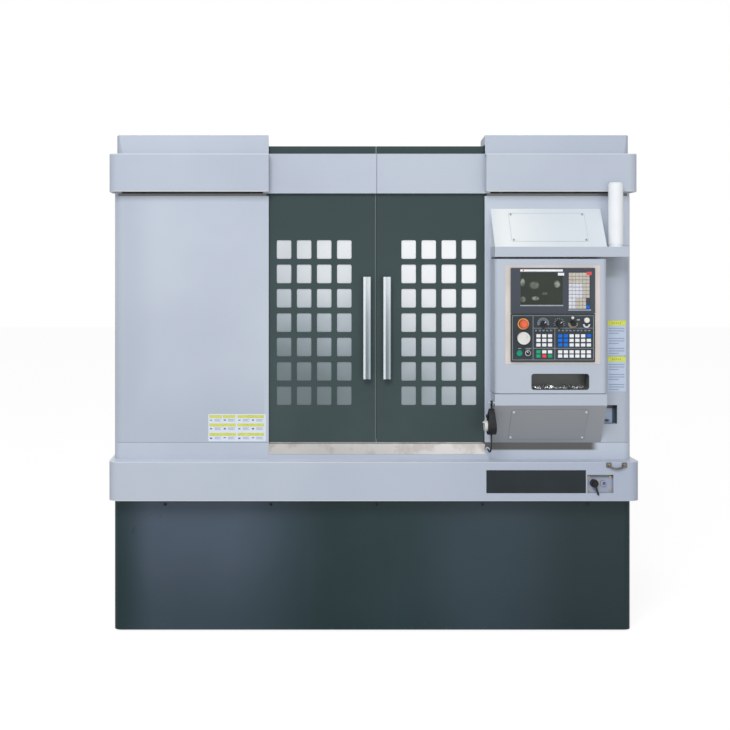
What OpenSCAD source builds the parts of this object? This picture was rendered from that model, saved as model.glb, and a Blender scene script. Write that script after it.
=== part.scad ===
// CNC vertical lathe: enclosure with two sliding doors, console, spindle, slides and turret.
// +X is to the right, the front faces -Y, +Z is up, and the machine stands on z = 0.

/* [Enclosure] */
// Width over the side panels
body_w = 2380; // [2340:10:2500]
// Depth from the front panels to the rear panel
body_d = 1430; // [1420:10:1600]
// Height of the roof sheet
roof_z = 2150; // [2120:5:2200]
// Thickness of the enclosure sheets
sheet_t = 3; // [2:0.5:4]
// Radius of the upright corners
corner_r = 35; // [20:1:45]
// Height of the seam over the lower front panel
seam_z = 868; // [864:1:875]
// Depth of the fold along the door opening
hem_d = 10; // [6:1:12]
// How far the strip that closes the gap over a side panel goes down behind it
neck_lap = 20; // [15:1:30]

/* [Base] */
// Thickness of the base skirt
skirt_t = 5; // [4:1:8]
// Gap between the skirt and the floor
skirt_gap = 6; // [4:1:20]
// Height of the joint between the skirt and the lower front panel
skirt_top_z = 788; // [780:1:795]
// Radius of a levelling foot
foot_r = 60; // [45:1:70]
// Thickness of a levelling foot's pad
foot_pad_t = 22; // [15:1:30]
// Radius of a levelling screw
foot_screw_r = 15; // [10:1:18]

/* [Belt] */
// Height of the belt's lower edge
belt_z = 613; // [600:1:640]
// Height of the belt
belt_h = 177; // [170:1:190]
// How far the belt stands in front of the panels
belt_front = 85; // [70:1:95]
// How far the belt stands out at the sides
belt_side = 16; // [10:1:20]
// Radius of the belt's front corners
belt_r = 45; // [30:1:60]

/* [Doors] */
// Middle of the door opening
door_mid_x = 18; // [10:1:25]
// Half the width of the door opening
opening_half = 497; // [490:1:500]
// Distance from the front panels back to the door skins
door_recess = 15; // [13:1:16]
// Thickness of the door skins
door_t = 3; // [2:0.5:3]
// Depth of the door's folded edge
door_depth = 20; // [18:1:20]
// Height of the doors' lower edge
door_bottom_z = 866; // [865:1:867]
// Height of the doors' upper edge
door_top_z = 2231; // [2225:1:2232]
// How far a shut door reaches behind its panel
door_lap = 25; // [15:1:30]
// Gap between the two shut doors
door_gap = 2; // [1:0.5:4]
// Columns of panes in a door
pane_cols = 4; // [3:1:4]
// Rows of panes in a door
pane_rows = 7; // [5:1:7]
// Width of a pane
pane_w = 67; // [55:1:75]
// Distance between columns of panes
pane_pitch_x = 92.6; // [88:0.2:94]
// Height of the web between two rows of panes
pane_web = 26.4; // [20:0.2:40]
// Corner radius of a pane
pane_r = 7; // [3:0.5:12]
// Distance from the opening's middle to the first pane
pane_edge = 115; // [108:1:118]
// Distance from the doors' upper edge down to the highest panes
pane_drop = 433; // [400:1:450]
// Distance from the doors' lower edge up to the lowest panes
pane_foot = 171.6; // [150:0.2:190]
// Thickness of the clear sheet behind the panes
glazing_t = 4; // [3:0.5:5]
// Distance from the doors' upper edge down to a header's lower edge
header_drop = 218; // [216:1:221]
// Gap between the front panels' top edge and the headers
header_gap = 12; // [10:1:16]
// Height of a door header
header_h = 182; // [160:1:190]
// How far a header stands in front of its door
header_proud = 18; // [10:1:25]

/* [Door handles] */
// Distance from the opening's middle to a handle
handle_gap = 29; // [24:1:34]
// Width of a handle
handle_w = 34; // [26:1:36]
// Height of a handle's lower end
handle_z = 1160; // [1140:1:1180]
// Length of a handle
handle_h = 469; // [420:1:480]
// How far a handle stands out of its door
handle_proud = 40; // [36:1:42]
// Thickness of a handle's grip
handle_t = 16; // [12:1:20]
// Length of a handle's foot
handle_foot = 50; // [35:1:70]
// Depth of the groove in a handle
groove_d = 5; // [3:0.5:7]

/* [Top covers] */
// Height of the covers' lower edge
cover_z = 2019; // [2017:1:2024]
// Height of the band
band_h = 173; // [165:1:180]
// Height of the upper tier
tier_h = 88; // [80:1:95]
// How far the band stands in front of the panels
cover_front = 45; // [35:1:55]
// How far the band stands out at the sides
cover_side = 20; // [12:1:25]
// Set-back of the upper tier
tier_inset = 32; // [20:1:36]
// How far the tier's face leans back
tier_lean = 8; // [0:1:12]
// Fall of the tier's top towards the back
tier_fall = 16; // [0:1:20]
// Depth of a top cover
cover_d = 164; // [160:1:175]

/* [Door rails] */
// Thickness of the door sill's plate
sill_t = 3; // [2:0.5:4]
// Height of the stainless strip under the doors
sill_h = 51; // [45:1:58]
// Height of the guide fin in the sill
fin_h = 22; // [15:1:26]
// Thickness of the guide fin
fin_t = 6; // [4:0.5:8]
// Thickness of the rail beam
beam_t = 40; // [30:1:41]
// Height of the rail beam
beam_h = 100; // [80:1:110]
// Distance from the doors' upper edge down to the rail beam's lower edge
beam_drop = 146; // [140:1:150]
// Side of the door's linear rail
rail_s = 20; // [15:1:24]
// Running clearance of carriages, slides and jaws
run_gap = 0.3; // [0.2:0.05:0.5]

/* [Console] */
// Left side of the console
console_x = 541; // [535:1:545]
// Width of the console
console_w = 505; // [500:1:510]
// How far the console stands in front of the panels
console_proud = 120; // [115:1:130]
// Height of the top of the hood
hood_top_z = 1942; // [1900:1:1960]
// Height of the hood's front edge
hood_edge_z = 1766; // [1760:1:1780]
// Height of the underside of the hood
hood_z = 1720; // [1715:1:1725]
// Gap between the hood and the hinged box
hood_gap = 10; // [6:1:12]
// Height of the bottom of the hinged box
box_z = 1104; // [1100:1:1106]
// Gap between the hinged box and the console base
box_gap = 3; // [2:0.5:4]
// Height at which the console base starts to slope back
slope_z = 1050; // [1040:1:1060]
// Height of the console base's lower edge
console_z = 867; // [862:1:885]
// Thickness of the console sheets
console_t = 2.5; // [2:0.5:3]
// Radius of the hinged box's left front corner
box_r = 20; // [10:1:25]
// Gap between the hinged box and the panels
box_back_gap = 8; // [6:1:10]
// Distance of the hinge pin from the box's left side and back
pin_in = 15; // [13:1:16]
// Radius of the hinge pins
pin_r = 6; // [5:0.5:8]
// Width of the hood's ledge beside the console
ledge_w = 99; // [95:1:102]
// Width of the access covers
access_w = 348; // [320:1:370]
// Thickness of the access covers
access_t = 1.5; // [1:0.5:3]

/* [Storage slot] */
// Distance from the console's left side to the slot
slot_in = 164; // [150:1:180]
// Width of the slot
slot_w = 261; // [230:1:280]
// Height of the slot's lower edge
slot_z = 1120; // [1116:1:1125]
// Height of the slot
slot_h = 73; // [60:1:78]
// Corner radius of the slot
slot_r = 13; // [6:1:18]
// Depth of the storage tray
slot_d = 85; // [70:1:95]

/* [Controls] */
// Distance from the console's left side to the back plate
plate_in = 46; // [42:1:50]
// Width of the stainless back plate
plate_w = 427; // [410:1:440]
// Height of the back plate's lower edge
plate_z = 1237; // [1230:1:1240]
// Height of the back plate
plate_h = 444; // [440:1:460]
// Thickness of the back plate
plate_t = 2; // [1:0.5:3]
// Distance from the console's left side to the display and the machine panel
panel_in = 70; // [66:1:74]
// Width of the display unit and the machine panel
panel_w = 378; // [376:1:384]
// Height of the machine panel's lower edge
panel_z = 1246; // [1242:1:1250]
// Height of the machine panel
panel_h = 218; // [216:1:220]
// Thickness of the machine panel
panel_t = 8; // [6:1:10]
// Height of the display unit
display_h = 205; // [200:1:210]
// Thickness of the display unit
display_t = 11; // [10:1:14]
// Width of the screen
screen_w = 188; // [180:1:200]
// Height of the screen
screen_h = 144; // [136:1:150]
// Depth of the screen's recess
screen_d = 4; // [3:0.5:6]
// Thickness of the screen's pane
screen_t = 2; // [1:0.5:2.5]
// Radius of the emergency stop's head
estop_r = 19; // [16:1:22]
// How far the emergency stop stands out of the panel
estop_h = 28; // [22:1:34]
// Radius of the emergency stop's collar
collar_r = 25; // [24:1:27]
// Radius of the white handwheel
wheel_r = 28; // [24:1:29]
// Radius of the green start button
start_r = 13; // [10:1:14]
// Radius of the key switch
key_r = 14; // [11:1:15]
// Radius of a rotary knob
knob_r = 12; // [9:1:14]
// Radius of the controls' shafts
shaft_r = 4; // [3:0.5:5]
// Running clearance round the controls' shafts
shaft_gap = 0.05; // [0.02:0.01:0.08]
// Width of a key on the machine panel
cap_w = 19; // [15:1:22]
// Height of a key on the machine panel
cap_h = 14.5; // [11:0.5:16]
// How far the keys stand out
cap_t = 3; // [2:0.5:4]
// Distance from the panel's left side to the middle of the first key
keys_in = 123.5; // [121:0.5:126]
// Distance between the first keys' columns
keys_pitch = 26; // [24:0.2:28]
// Distance from the panel's left side to the middle of the key field's first key
field_in = 221; // [218:0.5:223]
// Distance between the key field's columns
field_pitch = 25.8; // [24:0.2:26.4]
// Height of the lowest row of keys over the panel's lower edge
keys_low = 27.5; // [25:0.5:30]
// Distance between the two lower rows of keys
keys_step = 19; // [17:0.5:20]
// Height of the upper rows of keys over the panel's lower edge
field_low = 77.5; // [75:0.5:80]
// Distance between the upper rows of keys
field_step = 20.5; // [18:0.5:21]
// Distance from the panel's left side to the letter pad
pad_in = 259.5; // [256:0.5:262]
// Height of the letter pad's top over the panel's lower edge
pad_top = 402; // [400:0.5:404]
// Side of a letter key
pad_key = 14.6; // [12:0.2:15]
// Distance between the letter pad's columns
pad_pitch_x = 15.7; // [15.2:0.1:16]
// Distance between the letter pad's rows
pad_pitch_z = 16.3; // [15.4:0.1:16.6]

/* [Signal tower] */
// Gap between the signal tower and the top cover
tower_gap = 2; // [1:0.5:5]
// Radius of the sleeved signal tower
tower_r = 33; // [25:1:36]
// Height of the signal tower
tower_h = 291; // [240:1:320]

/* [Pendant] */
// Thickness of the pendant at its widest
pendant_t = 38; // [30:1:40]
// Width of the pendant
pendant_w = 66; // [56:1:68]
// Height of the pendant
pendant_h = 118; // [100:1:125]
// Radius of the pendant's dial
dial_r = 24; // [18:1:26]
// Diameter of the pendant's cord
cord_d = 7; // [5:0.5:8]

/* [Belt fittings] */
// Distance from the belt's right end to the far side of the nameplate
name_in = 698; // [694:1:702]
// Width of the nameplate
name_w = 451; // [420:1:452]
// Height of the nameplate
name_h = 104; // [90:1:110]
// Thickness of the label plates
label_t = 1; // [0.5:0.5:2]
// Distance from the belt's right end to the far side of the power-switch recess
switch_in = 240; // [236:1:242]
// Width of the recess
switch_w = 118; // [110:1:120]
// Height of the recess
switch_h = 83; // [76:1:90]
// Depth of the recess
switch_d = 16; // [12:1:24]
// Radius of the main switch's hub
hub_r = 18; // [14:1:20]
// Length of the main switch's lever
lever_l = 54; // [40:1:56]
// Radius of the power button
power_r = 12; // [9:1:13]
// Distance from the belt's right end to the far side of the small handle
grab_in = 155; // [150:1:158]
// Width of the small handle
grab_w = 95; // [85:1:105]
// Radius of the belt's handle's arch
grab_r = 58; // [54:1:62]

/* [Panel fittings] */
// Distance from the right side to the far side of the wall pocket
pocket_in = 126; // [120:1:130]
// Width of the wall pocket
pocket_w = 60; // [50:1:70]
// Height of the wall pocket's lower edge
pocket_low = 953; // [940:1:965]
// Height of the wall pocket
pocket_h = 86; // [75:1:95]
// Depth of the wall pocket
pocket_d = 45; // [35:1:50]
// Radius of the hole in the pocket's floor
pocket_hole_r = 12; // [8:1:15]
// Distance from the door opening to the far side of the chart label
chart_in = 278; // [270:1:285]
// Width of the chart label
chart_w = 265; // [250:1:268]
// Height of the chart label
chart_h = 126; // [110:1:135]
// Distance from the right side to the far side of the warning labels
warning_in = 110; // [105:1:115]
// Width of a warning label
warning_w = 84; // [70:1:90]
// Height of a warning label
warning_h = 160; // [140:1:165]
// Height of the lower warning label's lower edge
warning_z = 1102; // [1090:1:1115]
// Gap between the warning labels
warning_gap = 6; // [3:1:12]
// Radius of a bright screw's head
head_r = 5; // [3:0.5:6]
// Thickness of a bright screw's head
head_t = 3; // [2:0.5:4]
// Radius of the skirt's screw heads
skirt_head_r = 7; // [5:0.5:9]
// Distance from a side to the nearest skirt screw
skirt_head_in = 200; // [180:5:230]

/* [Spindle and chuck] */
// Height of the bed's deck
deck_z = 580; // [560:5:600]
// Thickness of the deck
deck_t = 60; // [50:1:65]
// Thickness of the bed's walls
bed_t = 40; // [30:1:45]
// Distance of the spindle axis behind the front panels
spindle_back = 470; // [460:1:480]
// Radius of the spindle housing
housing_r = 210; // [190:1:215]
// Height of the spindle housing over the deck
housing_h = 280; // [270:1:290]
// Radius of the spindle's upper journal
journal_r = 60; // [50:1:70]
// Radius of the spindle's lower journal
tail_r = 30; // [25:1:34]
// Running clearance of the spindle
bearing_gap = 0.05; // [0.02:0.01:0.08]
// Radius of the chuck
chuck_r = 127; // [120:1:135]
// Height of the chuck
chuck_h = 100; // [90:1:105]
// Width of a jaw
jaw_w = 36; // [30:1:40]
// Height of a jaw over the chuck
jaw_h = 48; // [40:1:55]
// Radius of the spindle motor
motor_r = 135; // [110:1:150]
// Length of the spindle motor
motor_l = 300; // [260:5:320]

// Distance of a jaw's inner end from the spindle axis
jaw_in = 62; // [58:1:66]
// Depth of a jaw's steps
jaw_step = 16; // [12:1:18]
// Distance of a jaw's outer end from the spindle axis
jaw_out = 122; // [116:1:124]

/* [Column and slides] */
// Width of the column
column_w = 840; // [820:5:860]
// Depth of the column
column_d = 400; // [360:5:400]
// Height of the column over the deck
column_h = 1420; // [1400:5:1450]
// Thickness of the column's walls
column_t = 28; // [22:1:34]
// Distance from the front panels to the column
column_back = 930; // [925:1:935]
// Height of the middle of the X rails
x_rails_z = 1650; // [1640:1:1660]
// Distance between the X rails
x_rails_span = 400; // [380:1:420]
// Depth of the linear rails
guide_d = 28; // [26:1:30]
// Width of the linear rails
guide_w = 34; // [30:1:38]
// Radius of the ball screws
screw_r = 16; // [12:1:18]
// Width of the saddle
saddle_w = 400; // [380:1:420]
// Height of the saddle
saddle_h = 720; // [700:5:740]
// Thickness of the saddle's plate
saddle_t = 40; // [34:1:44]
// Distance of the turret from the spindle axis at rest
turret_off = 120; // [100:5:140]
// Distance between the Z rails
z_rails_span = 260; // [240:1:270]
// Thickness of the Z slide's plate
slide_t = 42; // [36:1:46]
// Height of the Z slide's plate
slide_h = 440; // [430:1:450]

/* [Turret] */
// Height of the turret's axis at rest
turret_z = 1560; // [1555:1:1570]
// Radius of the turret disc
turret_r = 160; // [140:1:165]
// Thickness of the turret disc
turret_t = 90; // [80:1:95]
// Number of tool stations
stations = 8; // [6:2:8]
// How far the tool holders reach out of the disc
tool_l = 54; // [40:1:56]
// Radius of a tool holder's bore
tool_r = 16; // [12:1:16]

/* [Coolant tank] */
// Width of the coolant tank
tank_w = 1150; // [1100:5:1152]
// Depth of the coolant tank
tank_d = 700; // [600:5:710]
// Height of the coolant tank
tank_h = 330; // [300:5:340]
// Clearance on each side of the coolant tank
tank_gap = 15; // [12:1:20]
// Depth of the pump's bay behind the open part of the tank
pump_bay = 130; // [100:5:160]
// Thickness of the tank's sheet
tank_t = 4; // [3:0.5:6]
// Thickness of the tank's runners
runner_t = 12; // [10:1:16]

/* [Electric cabinet] */
// Width of the cabinet
cabinet_w = 1000; // [900:10:1100]
// Height of the cabinet
cabinet_h = 1200; // [1100:10:1240]
// Depth of the cabinet
cabinet_d = 300; // [250:10:350]
// Height of the cabinet's lower edge
cabinet_z = 820; // [800:5:860]
// How far the cabinet's handle stands out
cabinet_handle = 25; // [20:1:30]

/* [Hidden] */
$fn = 48;
e = 1;

// Depth: the emergency stop is the foremost point and the cabinet's handle the rearmost
front_out = console_proud + plate_t + panel_t + estop_h;
rear_out = cabinet_d + sheet_t + cabinet_handle;
front_y = front_out - (front_out + body_d + rear_out) / 2;
rear_y = front_y + body_d;
half_w = body_w / 2;
inner_w = half_w - sheet_t;

// Doors
skin_y = front_y + door_recess;
door_back_y = skin_y + door_depth;
left_edge_x = door_mid_x - opening_half;
right_edge_x = door_mid_x + opening_half;
door_w = opening_half + door_lap - door_gap / 2;
fold_z = door_bottom_z + fin_h;
header_z = door_top_z - header_drop;
panel_top_z = header_z - header_gap;
side_top_z = max(roof_z, panel_top_z);
pane_top_z = door_top_z - pane_drop;
panes_h = pane_top_z - door_bottom_z - pane_foot;
pane_h = (panes_h - (pane_rows - 1) * pane_web) / pane_rows;
pane_pitch_z = pane_h + pane_web;

// Rails of the doors
hanger_t = 8;
hanger_x = [110, 410];
carriage_t = 28;
beam_z = door_top_z - beam_drop;
rail_y = door_back_y + hanger_t + carriage_t - rail_s + e;
beam_y = door_back_y + hanger_t + carriage_t + e;
rail_mid_z = beam_z + beam_h / 2;
carriage_h = 50;
carriage_w = 90;

// Top covers
cover_y = front_y - cover_front;
cover_back_y = cover_y + cover_d;
band_top_z = cover_z + band_h;

// Console
console_y = front_y - console_proud;
console_x2 = console_x + console_w;
box_back_y = front_y - box_back_gap;
box_top_z = hood_z - hood_gap;
pin_x = console_x + pin_in;
pin_y = box_back_y - pin_in;
plate_y = console_y - plate_t;
panel_x = console_x + panel_in;
panel_y = plate_y - panel_t;
display_z = panel_z + panel_h + e;
display_y = plate_y - display_t;
screen_x = panel_x + 43;
screen_z = display_z + 39;
controls_x = panel_x + 55;
estop_z = panel_z + 172;
wheel_z = panel_z + 108;
small_z = panel_z + 41;
knobs_z = panel_z + 174;

// Belt
belt_y = front_y - belt_front;
belt_x = half_w + belt_side;
belt_top_z = belt_z + belt_h;
name_x = belt_x - name_in;
switch_x = belt_x - switch_in;
switch_z = belt_z + 36;
switch_y = belt_y + sheet_t + switch_d;
main_x = switch_x + 33;
main_z = switch_z + 43;
power_x = switch_x + 75;
grab_x = belt_x - grab_in;
grab_z = belt_top_z - 26;
grab_pad = 24;
skirt_head_x = half_w - skirt_head_in - door_mid_x;

// Panel fittings
pocket_x = [half_w - pocket_in, half_w - pocket_in + pocket_w];
pocket_z = [pocket_low, pocket_low + pocket_h];
chart_x = [left_edge_x - chart_in, left_edge_x - chart_in + chart_w];
chart_z = [seam_z + 4, seam_z + 4 + chart_h];
warning_x = [half_w - warning_in, half_w - warning_in + warning_w];
warning_lows = [warning_z, warning_z + warning_h + warning_gap];

// Spindle
spindle_x = door_mid_x;
spindle_y = front_y + spindle_back;
housing_z = deck_z + housing_h;
nose_h = 30;
nose_gap = 2;
chuck_z = housing_z + nose_h;
chuck_top_z = chuck_z + chuck_h;
slot_deep = 18;
jaw_reach = 34;
land_h = 60;

// Bed, column and slides
bed_mid = 20;
bay_half = tank_w / 2 + tank_gap;
bed_x = [bed_mid - bay_half - bed_t, bed_mid + bay_half + bed_t];
bed_y = [front_y + 80, rear_y - 70];
bed_z = 60;
foot_in = [90, 70];
foot_xs = [bed_x[0] + foot_in[0], bed_mid, bed_x[1] - foot_in[0]];
foot_ys = [bed_y[0] + foot_in[1], bed_y[1] - foot_in[1]];
foot_block = 55;
foot_thread = 10;
runner_z = bed_z;
runner_lap = 20;
runner_d = 600;
tank_x = [bed_mid - tank_w / 2, bed_mid + tank_w / 2];
tank_y = [rear_y + 20 - tank_d, rear_y + 20];
tank_z = runner_z + runner_t + run_gap;
column_x = [spindle_x + 132 - column_w / 2, spindle_x + 132 + column_w / 2];
column_y = front_y + column_back;
rail_front_y = column_y - guide_d;
saddle_y = rail_front_y - 6 - saddle_t;
turret_x = spindle_x + turret_off;
sockets = [1, 3];
saddle_z = 1200;
z_rail_y = saddle_y - guide_d;
slide_y = z_rail_y - 6 - slide_t;
slide_z = turret_z - 140;
disc_y = spindle_y - turret_t / 2;
grip = 20;

// Chamber
liner_in = 50;
liner_x = [bed_x[0] + liner_in, bed_x[1] - liner_in];
liner_t = 3;
liner_y = [beam_y - 18, column_y - 35];
pan_z = deck_z;
chute_x = [bed_mid - 250, bed_mid + 250];
chute_y = [liner_y[1] - 100, liner_y[1] - 20];

// Points of the pendant's cord, from the gland to the pendant
cord_x = 526;
gland_z = 838;
cord_points = [
  [526, -812, 838], [526, -828, 837], [526, -846, 834], [526, -864, 833], [526, -882, 836],
  [526, -897, 844], [526, -908, 856], [526, -914, 870], [526, -916, 886], [526, -916, 902], [526, -916, 918]
];
pendant_z = 918;
pendant_y = -916;

paint = "#BEC8D6";
green = "#42504F";
base_green = "#37444A";

// A box between two corners
module box(x, y, z) {
  translate([x[0], y[0], z[0]]) cube([x[1] - x[0], y[1] - y[0], z[1] - z[0]]);
}

// A flat rectangle with round corners
module rrect(x, y, r) {
  translate([x[0] + r, y[0]]) square([x[1] - x[0] - 2 * r, y[1] - y[0]]);
  translate([x[0], y[0] + r]) square([x[1] - x[0], y[1] - y[0] - 2 * r]);
  for (cx = [x[0] + r, x[1] - r]) for (cy = [y[0] + r, y[1] - r]) translate([cx, cy]) circle(r);
}

// A plate that faces the front, from y_back towards the viewer
module front_plate(x, z, y_back, t, r) {
  translate([0, y_back, 0]) rotate([90, 0, 0]) linear_extrude(t) rrect(x, z, r);
}

// Round bars along each axis
module bar_x(x, y, z, r) {
  translate([x[0], y, z]) rotate([0, 90, 0]) cylinder(h = x[1] - x[0], r = r);
}
module bar_y(x, y, z, r) {
  translate([x, y[0], z]) rotate([-90, 0, 0]) cylinder(h = y[1] - y[0], r = r);
}
module bar_z(x, y, z, r) {
  translate([x, y, z[0]]) cylinder(h = z[1] - z[0], r = r);
}

// A front and two sides with round front corners, open at the back
module wrap(x, y, z, r) {
  translate([0, 0, z[0]]) linear_extrude(z[1] - z[0]) {
    translate([x[0] + r, y[0]]) square([x[1] - x[0] - 2 * r, r + e]);
    translate([x[0], y[0] + r]) square([x[1] - x[0], y[1] - y[0] - r]);
    for (cx = [x[0] + r, x[1] - r]) translate([cx, y[0] + r]) circle(r);
  }
}

// Base
module base_skirt() {
  color(base_green) difference() {
    wrap([-half_w, half_w], [front_y, rear_y], [skirt_gap, skirt_top_z], corner_r);
    wrap([-half_w + skirt_t, half_w - skirt_t], [front_y + skirt_t, rear_y - skirt_t],
      [skirt_gap - e, skirt_top_z + e], corner_r - skirt_t);
    box([bed_mid - bay_half - 5, bed_mid + bay_half + 5], [rear_y - skirt_t - e, rear_y + e],
      [skirt_gap - e, runner_z + tank_h + 60]);
  }
}

module levelling_feet() {
  for (x = foot_xs) for (y = foot_ys) if (y < 0 || x != bed_mid) color("#5A5E60") {
    bar_z(x, y, [0, foot_pad_t], foot_r);
    bar_z(x, y, [foot_pad_t - e, bed_z + foot_thread], foot_screw_r);
  }
}

module bed_outer() {
  box(bed_x, bed_y, [deck_z - deck_t, deck_z]);
  for (x = [bed_x[0], bed_x[1] - bed_t]) box([x, x + bed_t], bed_y, [bed_z, deck_z]);
  box(bed_x, [bed_y[0], bed_y[0] + bed_t], [bed_z, deck_z]);
  for (x = foot_xs) for (y = foot_ys) if (y < 0 || x != bed_mid)
    box([x - foot_block, x + foot_block], [y - foot_block, y + foot_block],
      [bed_z, bed_z + (y < 0 ? 40 : runner_t)]);
  for (s = [[bed_x[0] + bed_t - e, tank_x[0] + runner_lap], [tank_x[1] - runner_lap, bed_x[1] - bed_t + e]])
    box(s, [bed_y[0] + runner_d, bed_y[1]], [runner_z, runner_z + runner_t]);
  bar_z(spindle_x, spindle_y, [deck_z - e, housing_z], housing_r);
}

module machine_bed() {
  color("#6E7577") difference() {
    bed_outer();
    bar_z(spindle_x, spindle_y, [deck_z - deck_t - e, housing_z + e], journal_r + bearing_gap);
    bar_z(spindle_x, spindle_y, [deck_z + land_h, housing_z - land_h], journal_r + 15);
    for (x = foot_xs) for (y = foot_ys)
      if (y < 0 || x != bed_mid) bar_z(x, y, [bed_z - e, bed_z + foot_thread], foot_screw_r);
    box(chute_x, chute_y, [deck_z - deck_t - e, deck_z + e]);
  }
}

module base_belt() {
  color(paint) difference() {
    wrap([-belt_x, belt_x], [belt_y, rear_y], [belt_z, belt_top_z], belt_r);
    wrap([-belt_x + sheet_t, belt_x - sheet_t], [belt_y + sheet_t, rear_y - sheet_t],
      [belt_z + sheet_t, belt_top_z - sheet_t], belt_r - sheet_t);
    wrap([-half_w, half_w], [front_y, rear_y + e], [belt_z - e, belt_top_z + e], corner_r);
    box([switch_x, switch_x + switch_w], [belt_y - e, belt_y + sheet_t + e], [switch_z, switch_z + switch_h]);
  }
}

// Enclosure
module lower_front_panel() {
  color(paint) difference() {
    wrap([-half_w, half_w], [front_y, rear_y], [skirt_top_z, seam_z], corner_r);
    wrap([-inner_w, inner_w], [front_y + sheet_t, rear_y + e], [skirt_top_z - e, seam_z + e],
      corner_r - sheet_t);
    box([left_edge_x, right_edge_x], [front_y - e, front_y + sheet_t + e], [seam_z - sill_h - 4, seam_z + e]);
  }
  color("#202224") bar_y(cord_x, [front_y - 12, front_y + e], gland_z, cord_d / 2 + 6);
}

module side_sheet(edge_x) {
  difference() {
    wrap([-half_w, half_w], [front_y, rear_y], [seam_z, side_top_z], corner_r);
    wrap([-inner_w, inner_w], [front_y + sheet_t, rear_y + e], [seam_z - e, side_top_z + e],
      corner_r - sheet_t);
    box([-edge_x, half_w + e], [front_y - e, rear_y + e], [seam_z - e, side_top_z + e]);
    box([-half_w - e, half_w], [front_y - e, front_y + corner_r + e], [panel_top_z, side_top_z + e]);
    for (i = [0:7]) for (y = [rear_y - 420, rear_y - 200])
      box([-half_w - e, -inner_w + e], [y, y + 160], [1760 + i * 26, 1770 + i * 26]);
  }
  box([-edge_x - sheet_t, -edge_x], [front_y + e, front_y + hem_d], [seam_z, panel_top_z]);
  box([-half_w + corner_r, -edge_x - hem_d], [front_y + sheet_t - e, front_y + 2 * sheet_t],
    [panel_top_z - neck_lap, header_z - run_gap]);
}

module left_enclosure() {
  color(paint) side_sheet(-left_edge_x);
}

module right_enclosure() {
  color(paint) difference() {
    mirror([1, 0, 0]) side_sheet(right_edge_x);
    box(pocket_x, [front_y - e, front_y + sheet_t + e], pocket_z);
  }
  color(paint) difference() {
    box([pocket_x[0] - 2, pocket_x[1] + 2], [front_y + sheet_t, front_y + pocket_d],
      [pocket_z[0] - 2, pocket_z[1] + 2]);
    box(pocket_x, [front_y, front_y + pocket_d - 2], pocket_z);
    bar_z((pocket_x[0] + pocket_x[1]) / 2, front_y + pocket_d / 2, [pocket_z[0] - 3, pocket_z[0] + e],
      pocket_hole_r);
  }
}

module rear_panel() {
  color(paint) {
    box([-inner_w, inner_w], [rear_y - sheet_t, rear_y], [skirt_top_z, roof_z]);
    box([-inner_w, inner_w], [beam_y + beam_t, rear_y], [roof_z - sheet_t, roof_z]);
  }
}

module cover_form(inner_x, in) {
  x0 = -half_w - cover_side + in;
  wrap([x0, -inner_x + e + 60], [cover_y + in, cover_back_y - in], [cover_z + in, band_top_z - in],
    corner_r + 5 - in);
  intersection() {
    wrap([x0 + tier_inset, -inner_x + e + 60], [cover_y + tier_inset, cover_back_y - in],
      [cover_z + in, band_top_z + tier_h], corner_r - in);
    translate([x0, 0, 0]) rotate([90, 0, 90]) linear_extrude(half_w * 2) polygon([
      [cover_y + tier_inset + in, cover_z],
      [cover_y + tier_inset + in, band_top_z - in],
      [cover_y + tier_inset + tier_lean + in, band_top_z + tier_h - in],
      [cover_back_y - in, band_top_z + tier_h - tier_fall - in],
      [cover_back_y - in, cover_z]
    ]);
  }
}

module top_cover(inner_x) {
  difference() {
    cover_form(inner_x, 0);
    cover_form(inner_x, sheet_t);
    box([-inner_x, 100], [cover_y - e, cover_back_y + e], [cover_z - e, band_top_z + tier_h + e]);
    box([-half_w, 0], [front_y, cover_back_y + e], [cover_z - e, roof_z]);
    box([-half_w, 0], [front_y - header_proud + 10, front_y + e], [cover_z - e, cover_z + sheet_t + e]);
  }
  intersection() {
    cover_form(inner_x, sheet_t);
    box([-inner_x - sheet_t, -inner_x], [cover_y, cover_back_y], [door_top_z + 4, band_top_z + tier_h]);
  }
}

module top_covers() {
  color(paint) top_cover(-left_edge_x);
  color(paint) mirror([1, 0, 0]) top_cover(right_edge_x);
}

// Rails that carry the doors
module door_rail() {
  color("#7C8285") box([-inner_w, inner_w], [beam_y, beam_y + beam_t], [beam_z, beam_z + beam_h]);
  color("silver") box([-inner_w, inner_w], [rail_y, beam_y],
    [rail_mid_z - rail_s / 2, rail_mid_z + rail_s / 2]);
}

module door_sill() {
  sill_z = seam_z - 6;
  guide_x = half_w - corner_r - 5;
  color("#D8D5D0") {
    box([left_edge_x, right_edge_x], [front_y - 2, front_y + 1], [seam_z - sill_h - 4, sill_z]);
    box([left_edge_x, right_edge_x], [front_y - 2, liner_y[0]], [sill_z - sill_t, sill_z]);
    box([-guide_x, guide_x], [front_y + sheet_t + e, liner_y[0]], [sill_z - sill_t, sill_z]);
    box([-guide_x, guide_x], [skin_y + 9, skin_y + 9 + fin_t], [sill_z - e, sill_z + fin_h - 4]);
  }
}

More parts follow.
